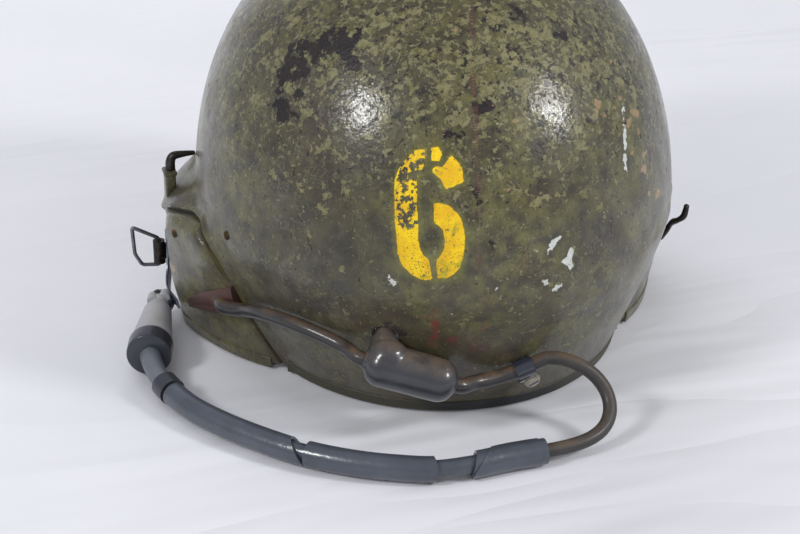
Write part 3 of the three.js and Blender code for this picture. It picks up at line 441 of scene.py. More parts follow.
class Look:
    """One node material with short calls for its layers."""

    def __init__(self, name, roughness=0.5, metallic=0.0, specular=0.5, coat=0.0, coat_roughness=0.2, sheen=0.0):
        self.material = bpy.data.materials.new(name)
        self.material.use_nodes = True
        self.tree = self.material.node_tree
        self.shader = self.tree.nodes["Principled BSDF"]
        for socket, value in (("Roughness", roughness), ("Metallic", metallic), ("Specular IOR Level", specular),
                              ("Coat Weight", coat), ("Coat Roughness", coat_roughness), ("Sheen Weight", sheen)):
            self.shader.inputs[socket].default_value = value
        self.place = self.node("ShaderNodeTexCoord").outputs["Object"]

    def link(self, value, socket):
        if isinstance(value, bpy.types.NodeSocket):
            self.tree.links.new(value, socket)
        elif isinstance(value, (tuple, list)) and len(value) == 3 and socket.type == "RGBA":
            socket.default_value = (*value, 1)
        else:
            socket.default_value = value

    def node(self, kind, **inputs):
        node = self.tree.nodes.new(kind)
        for key, value in inputs.items():
            if key in node.inputs:
                self.link(value, node.inputs[key])
            else:
                setattr(node, key, value)
        return node

    def math(self, operation, a, b=0.0):
        node = self.node("ShaderNodeMath", operation=operation)
        self.link(a, node.inputs[0])
        self.link(b, node.inputs[1])
        return node.outputs[0]

    def times(self, a, b):
        return self.math("MULTIPLY", a, b)

    def plus(self, a, b):
        return self.math("ADD", a, b)

    def minus(self, a, b):
        return self.math("SUBTRACT", a, b)

    def noise(self, scale, detail=4, rough=0.55, lean=0.0, stretch=None):
        place = self.place
        if stretch:
            place = self.node("ShaderNodeMapping", Vector=place, Scale=stretch).outputs[0]
        node = self.node("ShaderNodeTexNoise", Vector=place, Scale=scale, Detail=detail, Roughness=rough,
                         Distortion=lean)
        return node.outputs["Fac"]

    def step(self, value, low, high):
        """0 below low and 1 above high, or the reverse if low is the higher."""
        ends = {"Value": value, "From Min": low, "From Max": high, "To Min": 0.0, "To Max": 1.0}
        return self.node("ShaderNodeMapRange", clamp=True, **ends).outputs[0]

    def patches(self, scale, detail, rough, low, high):
        """Noise cut into patches with edges between low and high."""
        return self.step(self.noise(scale, detail, rough), low, high)

    def mix(self, amount, a, b):
        """Mix of two colours."""
        node = self.node("ShaderNodeMix", data_type="RGBA")
        for value, socket in ((amount, 0), (a, 6), (b, 7)):
            self.link(value, node.inputs[socket])
        return node.outputs[2]

    def blend(self, amount, a, b):
        """Mix of two numbers."""
        node = self.node("ShaderNodeMix")
        for value, socket in ((amount, 0), (a, 2), (b, 3)):
            self.link(value, node.inputs[socket])
        return node.outputs[0]

    def cover(self, colour, where, strength, layer):
        """The colour with a layer over it where the mask is 1, at most that strong."""
        return self.mix(self.times(where, strength), colour, layer)

    def field(self, name):
        return self.node("ShaderNodeAttribute", attribute_name=name).outputs["Fac"]

    def finish(self, colour=None, roughness=None, height=None, depth=0.3, metallic=None):
        for value, socket in ((colour, "Base Color"), (roughness, "Roughness"), (metallic, "Metallic")):
            if value is not None:
                self.link(value, self.shader.inputs[socket])
        if height is not None:
            for socket, share in (("Normal", 1.0), ("Coat Normal", 0.55)):
                bump = self.node("ShaderNodeBump", Strength=1.0, Distance=share * depth / 1000, Height=height)
                self.link(bump.outputs[0], self.shader.inputs[socket])
        return self.material


def rgb(r, g, b):
    """Linear colour from the eye's 0 to 255 scale."""
    return tuple(((v / 255 + 0.055) / 1.055) ** 2.4 if v > 10 else v / 3295 for v in (r, g, b))


def painted(name, marks=True):
    look = Look(name, specular=0.38, coat_roughness=0.09, sheen=0.07)
    worn = look.field("worn") if marks else 0.3
    broad = look.noise(17, 4, 0.6)
    tone = look.noise(80, 6, 0.62)
    colour = look.mix(look.step(tone, 0.42, 0.58), rgb(48, 44, 31), rgb(68, 64, 43))
    # Soft mossy and brown patches
    moss = look.times(look.step(broad, 0.4, 0.6), look.patches(105, 6, 0.65, 0.42, 0.58))
    colour = look.cover(colour, moss, 0.85, rgb(92, 90, 46))
    wash = look.times(look.patches(30, 5, 0.6, 0.52, 0.66), look.patches(150, 5, 0.6, 0.42, 0.56))
    colour = look.cover(colour, wash, 0.6, rgb(72, 57, 43))
    # Older lighter coat that shows where the top coat has flaked, with a painted shadow in a dark band round each flake
    flake = look.noise(118, 8, 0.64)
    edge = look.minus(0.66, look.times(worn, 0.12))
    light = look.step(flake, edge, look.plus(edge, 0.008))
    older = look.mix(look.patches(190, 6, 0.66, 0.4, 0.6), rgb(86, 85, 46), rgb(122, 117, 80))
    colour = look.cover(colour, light, 0.9, older)
    # Painted shadow of the peeled edge, as a thin dark band round each flake
    flake_edge_shadow = look.step(flake, look.minus(edge, 0.02), look.minus(edge, 0.006))
    flake_edge_shadow = look.times(flake_edge_shadow, look.minus(1.0, light))
    colour = look.cover(colour, flake_edge_shadow, 0.75, rgb(34, 29, 23))
    small = look.noise(330, 8, 0.66)
    least = look.minus(0.658, look.times(worn, 0.10))
    colour = look.cover(colour, look.step(small, least, look.plus(least, 0.012)), 0.75, rgb(124, 120, 86))
    # Dark pits, pale hair lines
    pits = look.noise(270, 7, 0.68)
    least = look.minus(0.660, look.times(worn, 0.08))
    dark = look.step(pits, least, look.plus(least, 0.015))
    colour = look.mix(dark, colour, rgb(36, 30, 27))
    line = look.math("ABSOLUTE", look.minus(look.noise(88, 8, 0.7), 0.5))
    here = look.patches(52, 4, 0.6, 0.44, 0.54)
    hair = look.times(look.step(line, 0.011, 0.005), here)
    colour = look.cover(colour, hair, 0.5, rgb(122, 118, 92))
    crack = look.math("ABSOLUTE", look.minus(look.noise(76, 8, 0.72), 0.47))
    crack = look.times(look.step(crack, 0.010, 0.004), look.patches(44, 4, 0.6, 0.46, 0.54))
    colour = look.cover(colour, crack, 0.7, rgb(34, 29, 24))
    height = look.plus(look.times(light, -0.7), look.times(dark, -1.0))
    height = look.plus(height, look.times(look.noise(620, 3, 0.6), 1.7))
    height = look.plus(height, look.times(look.noise(210, 4, 0.55), 2.0))
    rough = look.blend(look.step(tone, 0.35, 0.65), 0.36, 0.5)
    rough = look.blend(light, rough, 0.42)
    gloss = look.blend(look.patches(60, 5, 0.6, 0.35, 0.65), 0.75, 0.3)
    gloss = look.times(gloss, look.minus(1.0, look.times(dark, 0.7)))
    if marks:
        ragged = look.times(look.minus(look.noise(260, 6, 0.7), 0.5), 9.0)
        island = look.times(look.minus(look.noise(120, 6, 0.66), 0.492), 26.0)

        def torn(name, amount):
            """Distance to a mark, with its edge made ragged."""
            return look.plus(look.field(name), look.times(ragged, amount))

        # Large dark chips down to the laminate
        chip = look.plus(look.math("MAXIMUM", look.field("chip"), -2.2), look.times(ragged, 1.2))
        chip = look.step(look.plus(chip, look.math("MAXIMUM", island, -1.5)), 0.15, -0.15)
        weave = look.times(look.noise(900, 2, 0.5), look.noise(110, 5, 0.6))
        under = look.mix(look.step(weave, 0.15, 0.42), rgb(17, 12, 14), rgb(44, 34, 34))
        colour = look.mix(chip, colour, under)
        height = look.plus(height, look.times(chip, -1.6))
        # Reddish seam line with pale stitches
        seam = look.times(look.step(torn("seam", 0.5), 2.2, 1.2), look.patches(85, 5, 0.65, 0.47, 0.54))
        colour = look.cover(colour, seam, 0.75, rgb(74, 47, 40))
        stitch = look.node("ShaderNodeTexWave", Vector=look.place, Scale=270.0, bands_direction="Z").outputs["Fac"]
        dots = look.times(look.step(look.field("seam"), 0.75, 0.45), look.step(stitch, 0.62, 0.72))
        dots = look.times(dots, look.patches(60, 5, 0.65, 0.46, 0.52))
        colour = look.cover(colour, dots, 0.5, rgb(124, 100, 76))
        # Stencilled digit, flaked where it is most worn
        sdf = torn("six", 0.2)
        least = look.minus(0.715, look.times(look.field("six_wear"), 0.25))
        lost = look.step(look.noise(250, 7, 0.66), least, look.plus(least, 0.012))
        speck = look.field("six_speck")
        pin = look.step(look.noise(1250, 3, 0.6), speck, look.plus(speck, 0.03))
        keep = look.times(look.minus(1.0, lost), look.minus(1.0, pin))
        yellow = look.times(look.step(sdf, 0.1, -0.1), keep)
        haze = look.times(look.step(sdf, 2.8, -0.2), look.minus(1.0, lost))
        gold = look.mix(look.patches(95, 5, 0.6, 0.4, 0.6), rgb(238, 200, 10), rgb(220, 172, 14))
        gold = look.mix(look.patches(140, 5, 0.6, 0.56, 0.66), gold, rgb(176, 160, 30))
        colour = look.cover(colour, haze, 0.3, rgb(138, 134, 26))
        colour = look.cover(colour, yellow, 0.97, gold)
        height = look.plus(height, look.times(yellow, 0.8))
        # Red smudges, white scuffs and tan scratches
        red = look.times(look.step(look.field("red"), 0.1, 0.8), look.patches(165, 6, 0.65, 0.46, 0.56))
        colour = look.cover(colour, red, 0.8, rgb(122, 34, 32))
        white = look.step(torn("white", 0.5), 0.12, -0.12)
        chalk = look.mix(look.noise(500, 3, 0.6), rgb(160, 164, 158), rgb(226, 228, 222))
        colour = look.cover(colour, white, 0.92, chalk)
        tan = look.step(torn("tan", 0.6), 0.2, -0.2)
        colour = look.cover(colour, tan, 0.75, rgb(152, 124, 86))
        ring = look.times(look.step(look.field("ring"), 0.5, 0.25), look.patches(70, 4, 0.6, 0.42, 0.5))
        colour = look.cover(colour, ring, 0.6, rgb(120, 112, 76))
        # Brown grime round the hole and near it, darker and browner towards the bottom, and painted shade along the
        # door's rear seam
        grime_and_shade = look.times(look.field("grime_and_shade"), look.patches(48, 6, 0.62, 0.3, 0.68))
        colour = look.mix(grime_and_shade, colour, rgb(67, 55, 45))
        dull = look.math("MAXIMUM", grime_and_shade, look.math("MAXIMUM", chip, yellow))
        gloss = look.times(gloss, look.minus(1.0, dull))
    look.link(gloss, look.shader.inputs["Coat Weight"])
    return look.finish(colour, rough, height, 0.16)


def rubbery(name, base, dust=None, roughness=0.42, grain=900, depth=0.05, coat=0.0, fade=None):
    look = Look(name, specular=0.4, coat=coat, coat_roughness=0.16)
    tone = look.noise(45, 5, 0.6)
    light = tuple(min(1, 1.5 * v + 0.004) for v in base)
    colour = look.mix(look.step(tone, 0.3, 0.7), base, light)
    rough = look.blend(look.noise(120, 5, 0.65), roughness - 0.14, roughness + 0.16)
    if dust:
        # Dust settles on what faces up
        facing = look.node("ShaderNodeNewGeometry").outputs["Normal"]
        up = look.node("ShaderNodeSeparateXYZ", Vector=facing)
        lying = look.step(up.outputs[2], 0.36, 0.94)
        cover = look.times(lying, look.patches(85, 6, 0.65, 0.34, 0.58))
        colour = look.cover(colour, cover, 0.8, dust)
        rough = look.blend(cover, rough, 0.7)
    if fade:
        colour = look.mix(look.field("fade"), colour, fade)
    speck = look.patches(650, 5, 0.7, 0.68, 0.74)
    colour = look.cover(colour, speck, 0.35, tuple(min(1, 2.6 * v + 0.02) for v in base))
    height = look.plus(look.noise(grain, 3, 0.6), look.times(look.noise(110, 4, 0.6), 1.5))
    return look.finish(colour, rough, height, depth)


def metallic(name, base, worn, roughness=0.38, rust=0.0):
    look = Look(name, metallic=1.0)
    patch = look.noise(160, 6, 0.65)
    colour = look.mix(look.step(patch, 0.35, 0.65), base, worn)
    rough = look.blend(patch, roughness - 0.12, roughness + 0.22)
    if rust:
        spot = look.step(look.noise(210, 7, 0.7), 0.62 - 0.3 * rust, 0.72 - 0.3 * rust)
        brown = look.mix(look.noise(500, 4, 0.6), rgb(84, 46, 24), rgb(160, 104, 54))
        colour, rough = look.mix(spot, colour, brown), look.blend(spot, rough, 0.85)
        return look.finish(colour, rough, look.noise(600, 5, 0.65), 0.06, look.minus(1.0, spot))
    return look.finish(colour, rough, look.noise(600, 4, 0.6), 0.02)


def leather(name):
    look = Look(name, specular=0.4, sheen=0.1)
    crease = look.node("ShaderNodeTexVoronoi", feature="DISTANCE_TO_EDGE", Vector=look.place, Scale=620.0)
    fold = look.noise(70, 5, 0.6)
    colour = look.mix(look.step(fold, 0.3, 0.7), rgb(40, 36, 33), rgb(66, 58, 52))
    height = look.plus(look.step(crease.outputs["Distance"], 0.0, 0.12), look.times(fold, 2.0))
    return look.finish(colour, look.blend(fold, 0.42, 0.68), height, 0.12)


def laminate(name):
    """Inside of the shell: woven cloth under dark resin."""
    look = Look(name, roughness=0.6)
    warp = look.node("ShaderNodeTexWave", Vector=look.place, Scale=520.0, Distortion=1.2)
    weft = look.node("ShaderNodeTexWave", Vector=look.place, Scale=520.0, Distortion=1.2, bands_direction="Z")
    weave = look.times(warp.outputs["Fac"], weft.outputs["Fac"])
    tone = look.noise(30, 5, 0.6)
    colour = look.mix(look.step(tone, 0.3, 0.7), rgb(52, 46, 34), rgb(72, 64, 46))
    colour = look.cover(colour, weave, 0.25, rgb(96, 86, 62))
    return look.finish(colour, look.blend(tone, 0.5, 0.75), weave, 0.08)


PAINT = painted("helmet_paint")
HARDWARE_PAINT = painted("hardware_paint", marks=False)
BINDING = rubbery("edge_binding", rgb(30, 31, 32), roughness=0.5, dust=rgb(50, 49, 41), fade=rgb(62, 60, 48))
RUBBER = rubbery("moulded_rubber", rgb(42, 43, 48), dust=rgb(96, 82, 68), roughness=0.32, coat=0.6)
CABLE = rubbery("cable_rubber", rgb(36, 35, 37), dust=rgb(98, 76, 56), roughness=0.36, coat=0.35)
CORD = rubbery("cord_rubber", rgb(48, 46, 45), dust=rgb(92, 76, 60), roughness=0.48, coat=0.08)
BOOT = rubbery("boot_rubber", rgb(62, 40, 35), dust=rgb(104, 78, 66), roughness=0.5)
VINYL = rubbery("sleeve_vinyl", rgb(57, 62, 72), roughness=0.32, grain=420, depth=0.2, coat=0.7)
CORE = rubbery("core_vinyl", rgb(86, 90, 98), roughness=0.42, coat=0.2)
DARK_SLEEVE = rubbery("dark_vinyl", rgb(40, 42, 51), roughness=0.36, coat=0.35)
PLUG = rubbery("plug_plastic", rgb(140, 140, 148), dust=rgb(166, 163, 160), roughness=0.5)
DARK_METAL = metallic("dark_metal", rgb(46, 44, 44), rgb(84, 80, 78), 0.42, rust=0.12)
BAND_METAL = rubbery("band_enamel", rgb(32, 36, 47), roughness=0.2, coat=0.9)
ZINC = metallic("zinc", rgb(120, 126, 142), rgb(150, 154, 166), 0.36)
STEEL = metallic("steel_wire", rgb(104, 104, 112), rgb(146, 146, 152), 0.32, rust=0.06)
RUST = metallic("rusty_rivet", rgb(66, 60, 44), rgb(84, 70, 48), 0.6, rust=0.3)
NICKEL = rubbery("screw_enamel", rgb(150, 144, 130), roughness=0.35, coat=0.3)
LEATHER = leather("pad_leather")
LAMINATE = laminate("shell_inside")


# Shell edge and its columns

def chain_line(chain, count):
    """Even points along a chain of side places, as angle and height, with its corners eased."""
    p = even(np.array([(b * HALF_LENGTH, h * WIDEST) for b, h in chain]), count)
    for _ in range(3):
        p[1:-1] = 0.25 * p[:-2] + 0.5 * p[1:-1] + 0.25 * p[2:]
    return np.stack([side_angle(p[:, 0], p[:, 1]), p[:, 1]], -1)


def brow_run(last, count):
    """Angles and heights from the last point on one side of the brow to its middle."""
    return [(last[0] + (math.pi - last[0]) * t, last[1] + (BROW_HEIGHT * WIDEST - last[1]) * ease(t))
            for t in np.linspace(0, 1, count)[1:]]


def edge_columns(fine):
    """Angle and height of the shell's lower edge from the rear round one side to the brow's middle."""
    nape_part = [(math.radians(a), RIM_LIFT) for a in np.arange(0, 64, 0.6 if fine else 1.2)]
    side_part = chain_line(OPENING + BROW, 190 if fine else 120)
    return np.array(nape_part + list(map(tuple, side_part)) + brow_run(side_part[-1], 14))


def place_marks(piece, points, normals):
    """Stores how far each vertex is from each painted mark, worked out in the picture plane."""
    px, py = picture(points)
    seen = (((EYE - points) * normals).sum(-1) > 0) & (points[:, 1] > -20)

    def polygon(corners):
        """Distance to the outline, negative inside it."""
        inside, best = np.zeros(len(px), bool), np.full(len(px), 1e9)
        for i, (x1, y1) in enumerate(corners):
            x0, y0 = corners[i - 1]
            wide, tall = x1 - x0, y1 - y0
            inside ^= ((y0 > py) != (y1 > py)) & (px < wide * (py - y0) / (tall + 1e-12) + x0)
            t = np.clip(((px - x0) * wide + (py - y0) * tall) / (wide ** 2 + tall ** 2 + 1e-9), 0, 1)
            best = np.minimum(best, np.hypot(px - x0 - t * wide, py - y0 - t * tall))
        return np.where(inside, -best, best)

    def store(name, shapes):
        value = np.full(len(px), FAR)
        for shape in shapes:
            value = np.minimum(value, shape)
        paint_field(piece, name, np.where(seen, MM_PER_PIXEL * np.clip(value, -FAR, 2 * FAR), FAR))

    def patch(x, y, a, b):
        return np.exp(-((px - x) / a) ** 2 - ((py - y) / b) ** 2)

    for name, shapes in (("six", SIX), ("chip", CHIPS), ("white", WHITE_MARKS), ("tan", TAN_MARKS)):
        store(name, map(polygon, shapes))
    store("ring", [np.abs(np.hypot(px - x, py - y) - r) for x, y, r in RINGS])
    wear = sum(patch(x, y, a, b) * w for x, y, a, b, w in SIX_WEAR)
    paint_field(piece, "six_wear", np.clip(0.3 + 0.62 * wear, 0, 1))
    paint_field(piece, "six_speck", np.interp(py, [150, 235, 275], [0.655, 0.635, 0.575]))
    red = sum(patch(*smudge) for smudge in RED_SMUDGES)
    paint_field(piece, "red", np.where(seen, np.clip(red, 0, 1), 0))
    x, y, z = points.T
    middle = np.interp(z, [85, 125, 161, 181, 197, 222], [17, 14.7, 12.9, 9.7, 4.7, 0])
    middle = np.where(y > 0, middle, -0.12 * (222 - z))
    paint_field(piece, "seam", np.where(z > 88, np.abs(x - middle), FAR))
    worn = 0.30 + 0.55 * ease((z - 95) / 75)
    worn += sum(np.where(seen, patch(x, y, a, b), 0) * w for x, y, a, b, w in WORN)
    paint_field(piece, "worn", np.clip(worn, 0, 1.2))
    # Darker and browner towards the bottom, with brown grime round the hole and near it
    grime_and_shade = 0.75 * ease((34 - z) / 34) + 0.9 * bell(np.linalg.norm(points - nape(HOLE_PLACE), axis=1), 20)
    grime_and_shade += np.where(seen, 0.6 * patch(455, 350, 60, 22), 0)
    paint_field(piece, "grime_and_shade", np.clip(grime_and_shade, 0, 0.9))


# Marks in the picture plane, in pixels of the 800 by 534 frame; FAR is the distance where there is no mark
FAR, MM_PER_PIXEL = 40.0, 0.48
SIX = [
    [(394.1, 190.7), (394.3, 178.8), (397.9, 170.1), (403.8, 161.4), (415.8, 149.5), (425.0, 149.0), (425.0, 162.5),
     (421.0, 172.0), (417.0, 180.0), (416.9, 190.7), (417.0, 205.9), (418.2, 224.3), (418.0, 238.4), (419.6, 248.2),
     (423.4, 254.7), (428.8, 260.1), (430.9, 269.8), (432.2, 280.1), (421.2, 279.6), (411.4, 274.2), (402.2, 265.5),
     (397.9, 254.7), (396.3, 238.4), (394.6, 223.2), (394.6, 204.8)],
    [(430.9, 148.4), (438.5, 146.3), (442.3, 154.9), (439.1, 161.4), (431.5, 160.4)],
    [(432.0, 166.9), (442.9, 166.3), (451.0, 154.9), (458.0, 161.4), (462.9, 170.1), (463.5, 182.0), (453.7, 186.4),
     (445.6, 189.6), (440.7, 179.9), (433.1, 172.3)],
    [(433.7, 202.6), (440.7, 203.2), (449.4, 205.9), (458.0, 213.5), (462.9, 223.2), (464.6, 234.1), (464.6, 247.1),
     (462.9, 259.0), (460.2, 267.7), (453.7, 274.2), (445.0, 278.5), (437.5, 278.5), (436.9, 269.8), (435.8, 260.1),
     (440.7, 255.7), (444.0, 249.2), (445.0, 238.4), (442.9, 229.7), (434.2, 222.1)],
]
SIX_WEAR = [(406, 172, 20, 22, 1.0), (404, 205, 14, 20, 0.75), (424, 164, 10, 8, 0.7), (414, 222, 8, 14, 0.6),
            (452, 222, 6, 12, 0.45)]
CHIPS = [
    [(371, 340), (374, 332), (382, 328), (394, 328), (404, 334), (407, 344), (399, 339), (386, 336), (376, 344)],
    [(380, 328), (382, 323), (389, 323), (388, 328)],
    [(275, 90), (278, 74), (281, 61), (290, 45), (303, 40), (316, 36), (330, 26), (346, 24), (361, 31), (358, 42),
     (347, 46), (349, 58), (340, 54), (332, 52), (326, 62), (313, 66), (303, 76), (290, 82), (283, 93)],
    [(276, 122), (275, 106), (283, 98), (296, 91), (303, 93), (301, 102), (295, 107), (298, 116), (289, 120)],
    [(342, 44), (350, 46), (356, 57), (361, 69), (356, 73), (347, 61)],
    [(510, 8), (520, 4), (522, 22), (512, 22)],
    [(444, 130), (464, 134), (460, 141), (443, 138)],
    [(476, 104), (492, 103), (493, 110), (478, 112)],
    [(473, 184), (478, 186), (484, 204), (479, 208), (472, 196)],
    [(486, 240), (496, 242), (492, 249), (484, 247)],
    [(550, 32), (568, 34), (566, 41), (552, 38)],
]
WHITE_MARKS = [
    [(562, 235.5), (555, 238), (549, 245), (546.5, 251), (548.5, 254), (552, 252), (556, 244)],
    [(571, 247.5), (575, 249), (572, 258), (573, 268), (569, 271), (566, 265), (561, 262), (567, 256)],
    [(550.5, 288.5), (561, 283), (563.5, 285), (557, 290), (552, 290.5)],
    [(542, 280), (548, 279), (550, 284), (545, 287)],
    [(534, 250), (537, 249.5), (537, 257), (534.5, 259.5)],
    [(495, 287), (500, 285), (499, 290), (495.5, 292)],
    [(506, 297), (510, 298), (507.5, 300.5)],
    [(517, 313.5), (520, 313), (519.5, 316), (516.5, 315.5)],
    [(540, 297.5), (542.5, 298.5), (541, 300.5), (539, 299.5)],
    [(450.8, 313.5), (453, 313.3), (452.4, 315.4), (450.6, 315.2)],
    [(386.5, 275), (388.5, 275), (397, 283.5), (394, 285), (389, 281)],
    [(495, 121), (499, 121.5), (497, 124)],
    [(622.5, 108), (624.5, 107), (625, 126), (623, 127)], [(623.2, 130), (625.6, 129), (626.6, 150), (624, 151)],
    [(623.6, 153), (626.4, 152), (626.4, 171), (624.2, 170)],
]
TAN_MARKS = [
    [(174, 297), (180, 299), (185, 304), (179, 303)], [(170, 265), (174, 267), (177, 274), (172, 272)],
    [(608.5, 57), (612, 60), (615, 63.5), (611, 62)], [(596, 106), (600, 104), (598, 116), (594, 113)],
    [(613, 106), (616, 106.5), (615, 110), (612, 109)], [(617, 96), (624, 97), (626, 102), (619, 100)],
    [(511, 118), (519, 119), (520, 124), (513, 123)], [(491, 102), (495, 101), (493, 107)],
    [(632, 148), (636, 150), (633, 156), (630, 154)], [(644, 152), (647, 151), (644, 160), (642, 160)],
    [(657, 190), (660, 188), (660, 199), (656, 198)], [(647, 192), (650, 191), (649, 197), (646, 196)],
    [(508, 188), (512, 186), (510, 192), (506, 191)], [(386, 118), (389, 117), (387, 124), (384, 122)],
    [(454, 30), (458, 28), (457, 34), (453, 33)], [(632, 108), (640, 110), (638, 118), (631, 115)],
    [(642, 164), (648, 166), (646, 174), (641, 172)], [(627, 117), (631, 118), (629, 128), (626, 127)],
    [(595, 98), (602, 101), (601, 108), (594, 105)], [(602, 112), (607, 114), (604, 119)],
    [(637, 128), (642, 131), (639, 137)],
]
RINGS = [(287, 116, 15), (370.5, 139, 9.5), (535, 232, 7)]
RED_SMUDGES = [(430, 313, 7, 4), (436, 324, 5, 5), (433, 338, 6, 7), (453, 339.5, 5.5, 3.4), (453, 348, 6, 3.4),
               (479, 347.5, 9, 3.4), (480, 325, 8, 5)]
WORN = [(370, 60, 70, 60, 0.25), (560, 60, 90, 60, 0.25), (500, 40, 120, 50, 0.2), (600, 150, 60, 70, 0.1),
        (290, 190, 40, 60, 0.1), (490, 180, 50, 50, 0.2), (520, 290, 50, 40, 0.1)]


def make_shell():
    left = edge_columns(True)
    right = edge_columns(False)[1:-1][::-1] * np.array([-1, 1])
    edge = np.vstack([left, right])
    u, low = edge[:, 0], edge[:, 1]
    # Shares of the way from the crown to the edge, closest together just above the widest height
    shares = np.concatenate([np.linspace(0, 0.33, 34), np.linspace(0.33, 0.52, 62)[1:], np.linspace(0.52, 1, 46)[1:]])
    heights = height_at(shares[:, None] * way_to(low)[None])
    heights[-1] = low
    grid_u = np.broadcast_to(u, heights.shape)
    points, normals = outer(grid_u, heights), normal(grid_u, heights)
    flat, flat_n = points.reshape(-1, 3), normals.reshape(-1, 3)
    # Lip that stands over the door's top edge, and a shallow groove down the rear seam
    seam = chain_line(OPENING, 220)
    line = outer(seam[:, 0], seam[:, 1])
    rank = np.linspace(0, 1, len(line))
    lift = np.zeros(len(flat))
    for side in (1, -1):
        near = np.flatnonzero((flat[:, 0] * side > 60) & (flat[:, 2] < 100))
        gap = flat[near][:, None, :] * np.array([side, 1, 1]) - line[None]
        distance = np.sqrt((gap ** 2).sum(-1))
        best, where = distance.min(1), rank[distance.argmin(1)]
        top = ease((where - 0.34) / 0.1) * ease((1 - where) / 0.12)
        lift[near] += top * (LIP_RISE * bell(best, 2.4) + LIP_SPREAD * bell(best, 8))
        lift[near] -= (1 - top) * SEAM_DEPTH * bell(best, 4.5)
    points = (flat + flat_n * lift[:, None]).reshape(points.shape)
    few = np.concatenate([np.linspace(0, 0.9, 26), np.linspace(0.9, 1, 5)[1:]])
    in_heights = height_at(few[:, None] * way_to(low)[None])
    in_heights[-1] = low
    inside = off(np.broadcast_to(u, in_heights.shape), in_heights, -WALL)
    piece = wall_piece("shell_skin", points, inside, PAINT, around=True, replaces=["shell"])
    mesh = piece.data
    mesh.materials.append(LAMINATE)
    outside_faces = (len(shares) - 1) * len(u)
    indices = np.zeros(len(mesh.polygons), np.int32)
    indices[outside_faces:outside_faces + (len(few) - 1) * len(u)] = 1
    mesh.polygons.foreach_set("material_index", indices)
    all_points = np.vstack([points.reshape(-1, 3), inside.reshape(-1, 3)])
    all_normals = np.vstack([flat_n, -np.ones((inside.size // 3, 3))])
    place_marks(piece, all_points, all_normals)
    # The hole that the junction's stub goes into
    tool = lathe("hole_tool", nape(STUB[0]), nape(STUB[1]), [(-8, HOLE_RADIUS), (26, HOLE_RADIUS)], PAINT, sides=40)
    cut = piece.modifiers.new("hole", "BOOLEAN")
    cut.object, cut.operation, cut.solver = tool, "DIFFERENCE", "EXACT"
    apply_modifiers(piece)
    bpy.data.objects.remove(tool)


def apply_modifiers(piece):
    bpy.context.view_layer.update()
    graph = bpy.context.evaluated_depsgraph_get()
    mesh = bpy.data.meshes.new_from_object(piece.evaluated_get(graph), preserve_all_data_layers=True, depsgraph=graph)
    piece.modifiers.clear()
    piece.data = mesh


def door_places(s, t, gap=DOOR_GAP):
    """Places on the door at shares of the way from rear to front and from foot to top."""
    gap_back, gap_height = gap / HALF_LENGTH, 0.85 * gap / WIDEST

    def along(chain, share):
        c = np.array(chain)
        at = np.clip(share, 0, 1) * (len(c) - 1)
        return np.stack([np.interp(at, np.arange(len(c)), c[:, k]) for k in range(2)], -1)

    rear = [(b - gap_back, h) for b, h in OPENING[:REAR_SEAM_POINTS]]
    top = [(b, h - gap_height) for b, h in OPENING[REAR_SEAM_POINTS - 1:]]
    rear[-1] = (rear[-1][0], rear[-1][1] - gap_height)
    top[0] = (top[0][0] - gap_back, top[0][1])
    front = DOOR_FRONT[:-1] + [(DOOR_FRONT[-1][0], DOOR_FRONT[-1][1] - gap_height)]
    foot = [rear[0]] + DOOR_FOOT[1:]
    s, t = s[..., None], t[..., None]
    r, f = along(rear, t[..., 0]), along(front, t[..., 0])
    b, a = along(foot, s[..., 0]), along(top, s[..., 0])
    c = [np.array(v) for v in (foot[0], foot[-1], top[0], top[-1])]
    return ((1 - s) * r + s * f + (1 - t) * b + t * a
            - (1 - s) * (1 - t) * c[0] - s * (1 - t) * c[1] - (1 - s) * t * c[2] - s * t * c[3])


def make_door(side):
    rows, columns = 84, 120
    t, s = np.meshgrid(1 - np.linspace(0, 1, rows), np.linspace(0, 1, columns), indexing="ij")
    back, height = np.moveaxis(door_places(s, t), -1, 0)
    outside = side_point(back, height)
    inside = side_point(*np.moveaxis(door_places(s, t, DOOR_GAP_INSIDE), -1, 0), -WALL)
    skin = side_point(back, height, 1.0) - outside
    top_edge, rear_edge = outside[0], outside[:, 0]
    flat = outside.reshape(-1, 3)
    to_top = nearest(flat, top_edge).reshape(rows, columns)
    to_rear = nearest(flat, rear_edge).reshape(rows, columns)
    rim = np.minimum(to_top, to_rear)
    # The rolled rim stands proud along the top, and the other edges sink a little
    proud = ease((height * WIDEST - 42) / 14) * ease((back + 0.24) / 0.2)
    roll = ROLL_RISE * np.sqrt(1 - (1 - np.clip(rim / ROLL_WIDTH, 0, 1)) ** 2) - 1.6
    far = bell(np.maximum(rim - ROLL_WIDTH, 0), 15)
    sunk = 0.5 * bell(to_rear, 1.5) + 2.4 * bell(to_top, 5, 1.4)
    lift = proud * np.where(rim < ROLL_WIDTH, roll, 2.6 * far) - (1 - proud) * sunk
    outside = outside + skin * lift[..., None]
    mirror = np.array([side, 1, 1])
    name = "left" if side > 0 else "right"
    piece = fix_normals(wall_piece(f"door_skin_{name}", outside * mirror, inside * mirror, PAINT,
                                   replaces=[f"ear_door_{name}"], slot="paint"))
    points = np.array([v.co for v in piece.data.vertices]) * 1000 - OFFSET
    normals = np.array([v.normal for v in piece.data.vertices])
    place_marks(piece, points, normals)
    paint_field(piece, "worn", np.full(len(points), 0.12))
    paint_field(piece, "seam", np.full(len(points), FAR))
    # Painted shade along the gap of the rear seam, and darker towards the bottom
    seam_shade = 0.9 * bell(nearest(points * mirror, rear_edge), 2.6, 4)
    paint_field(piece, "grime_and_shade", np.clip(0.85 * ease((24 - points[:, 2]) / 24) + seam_shade, 0, 1))


# Binding round the free edges

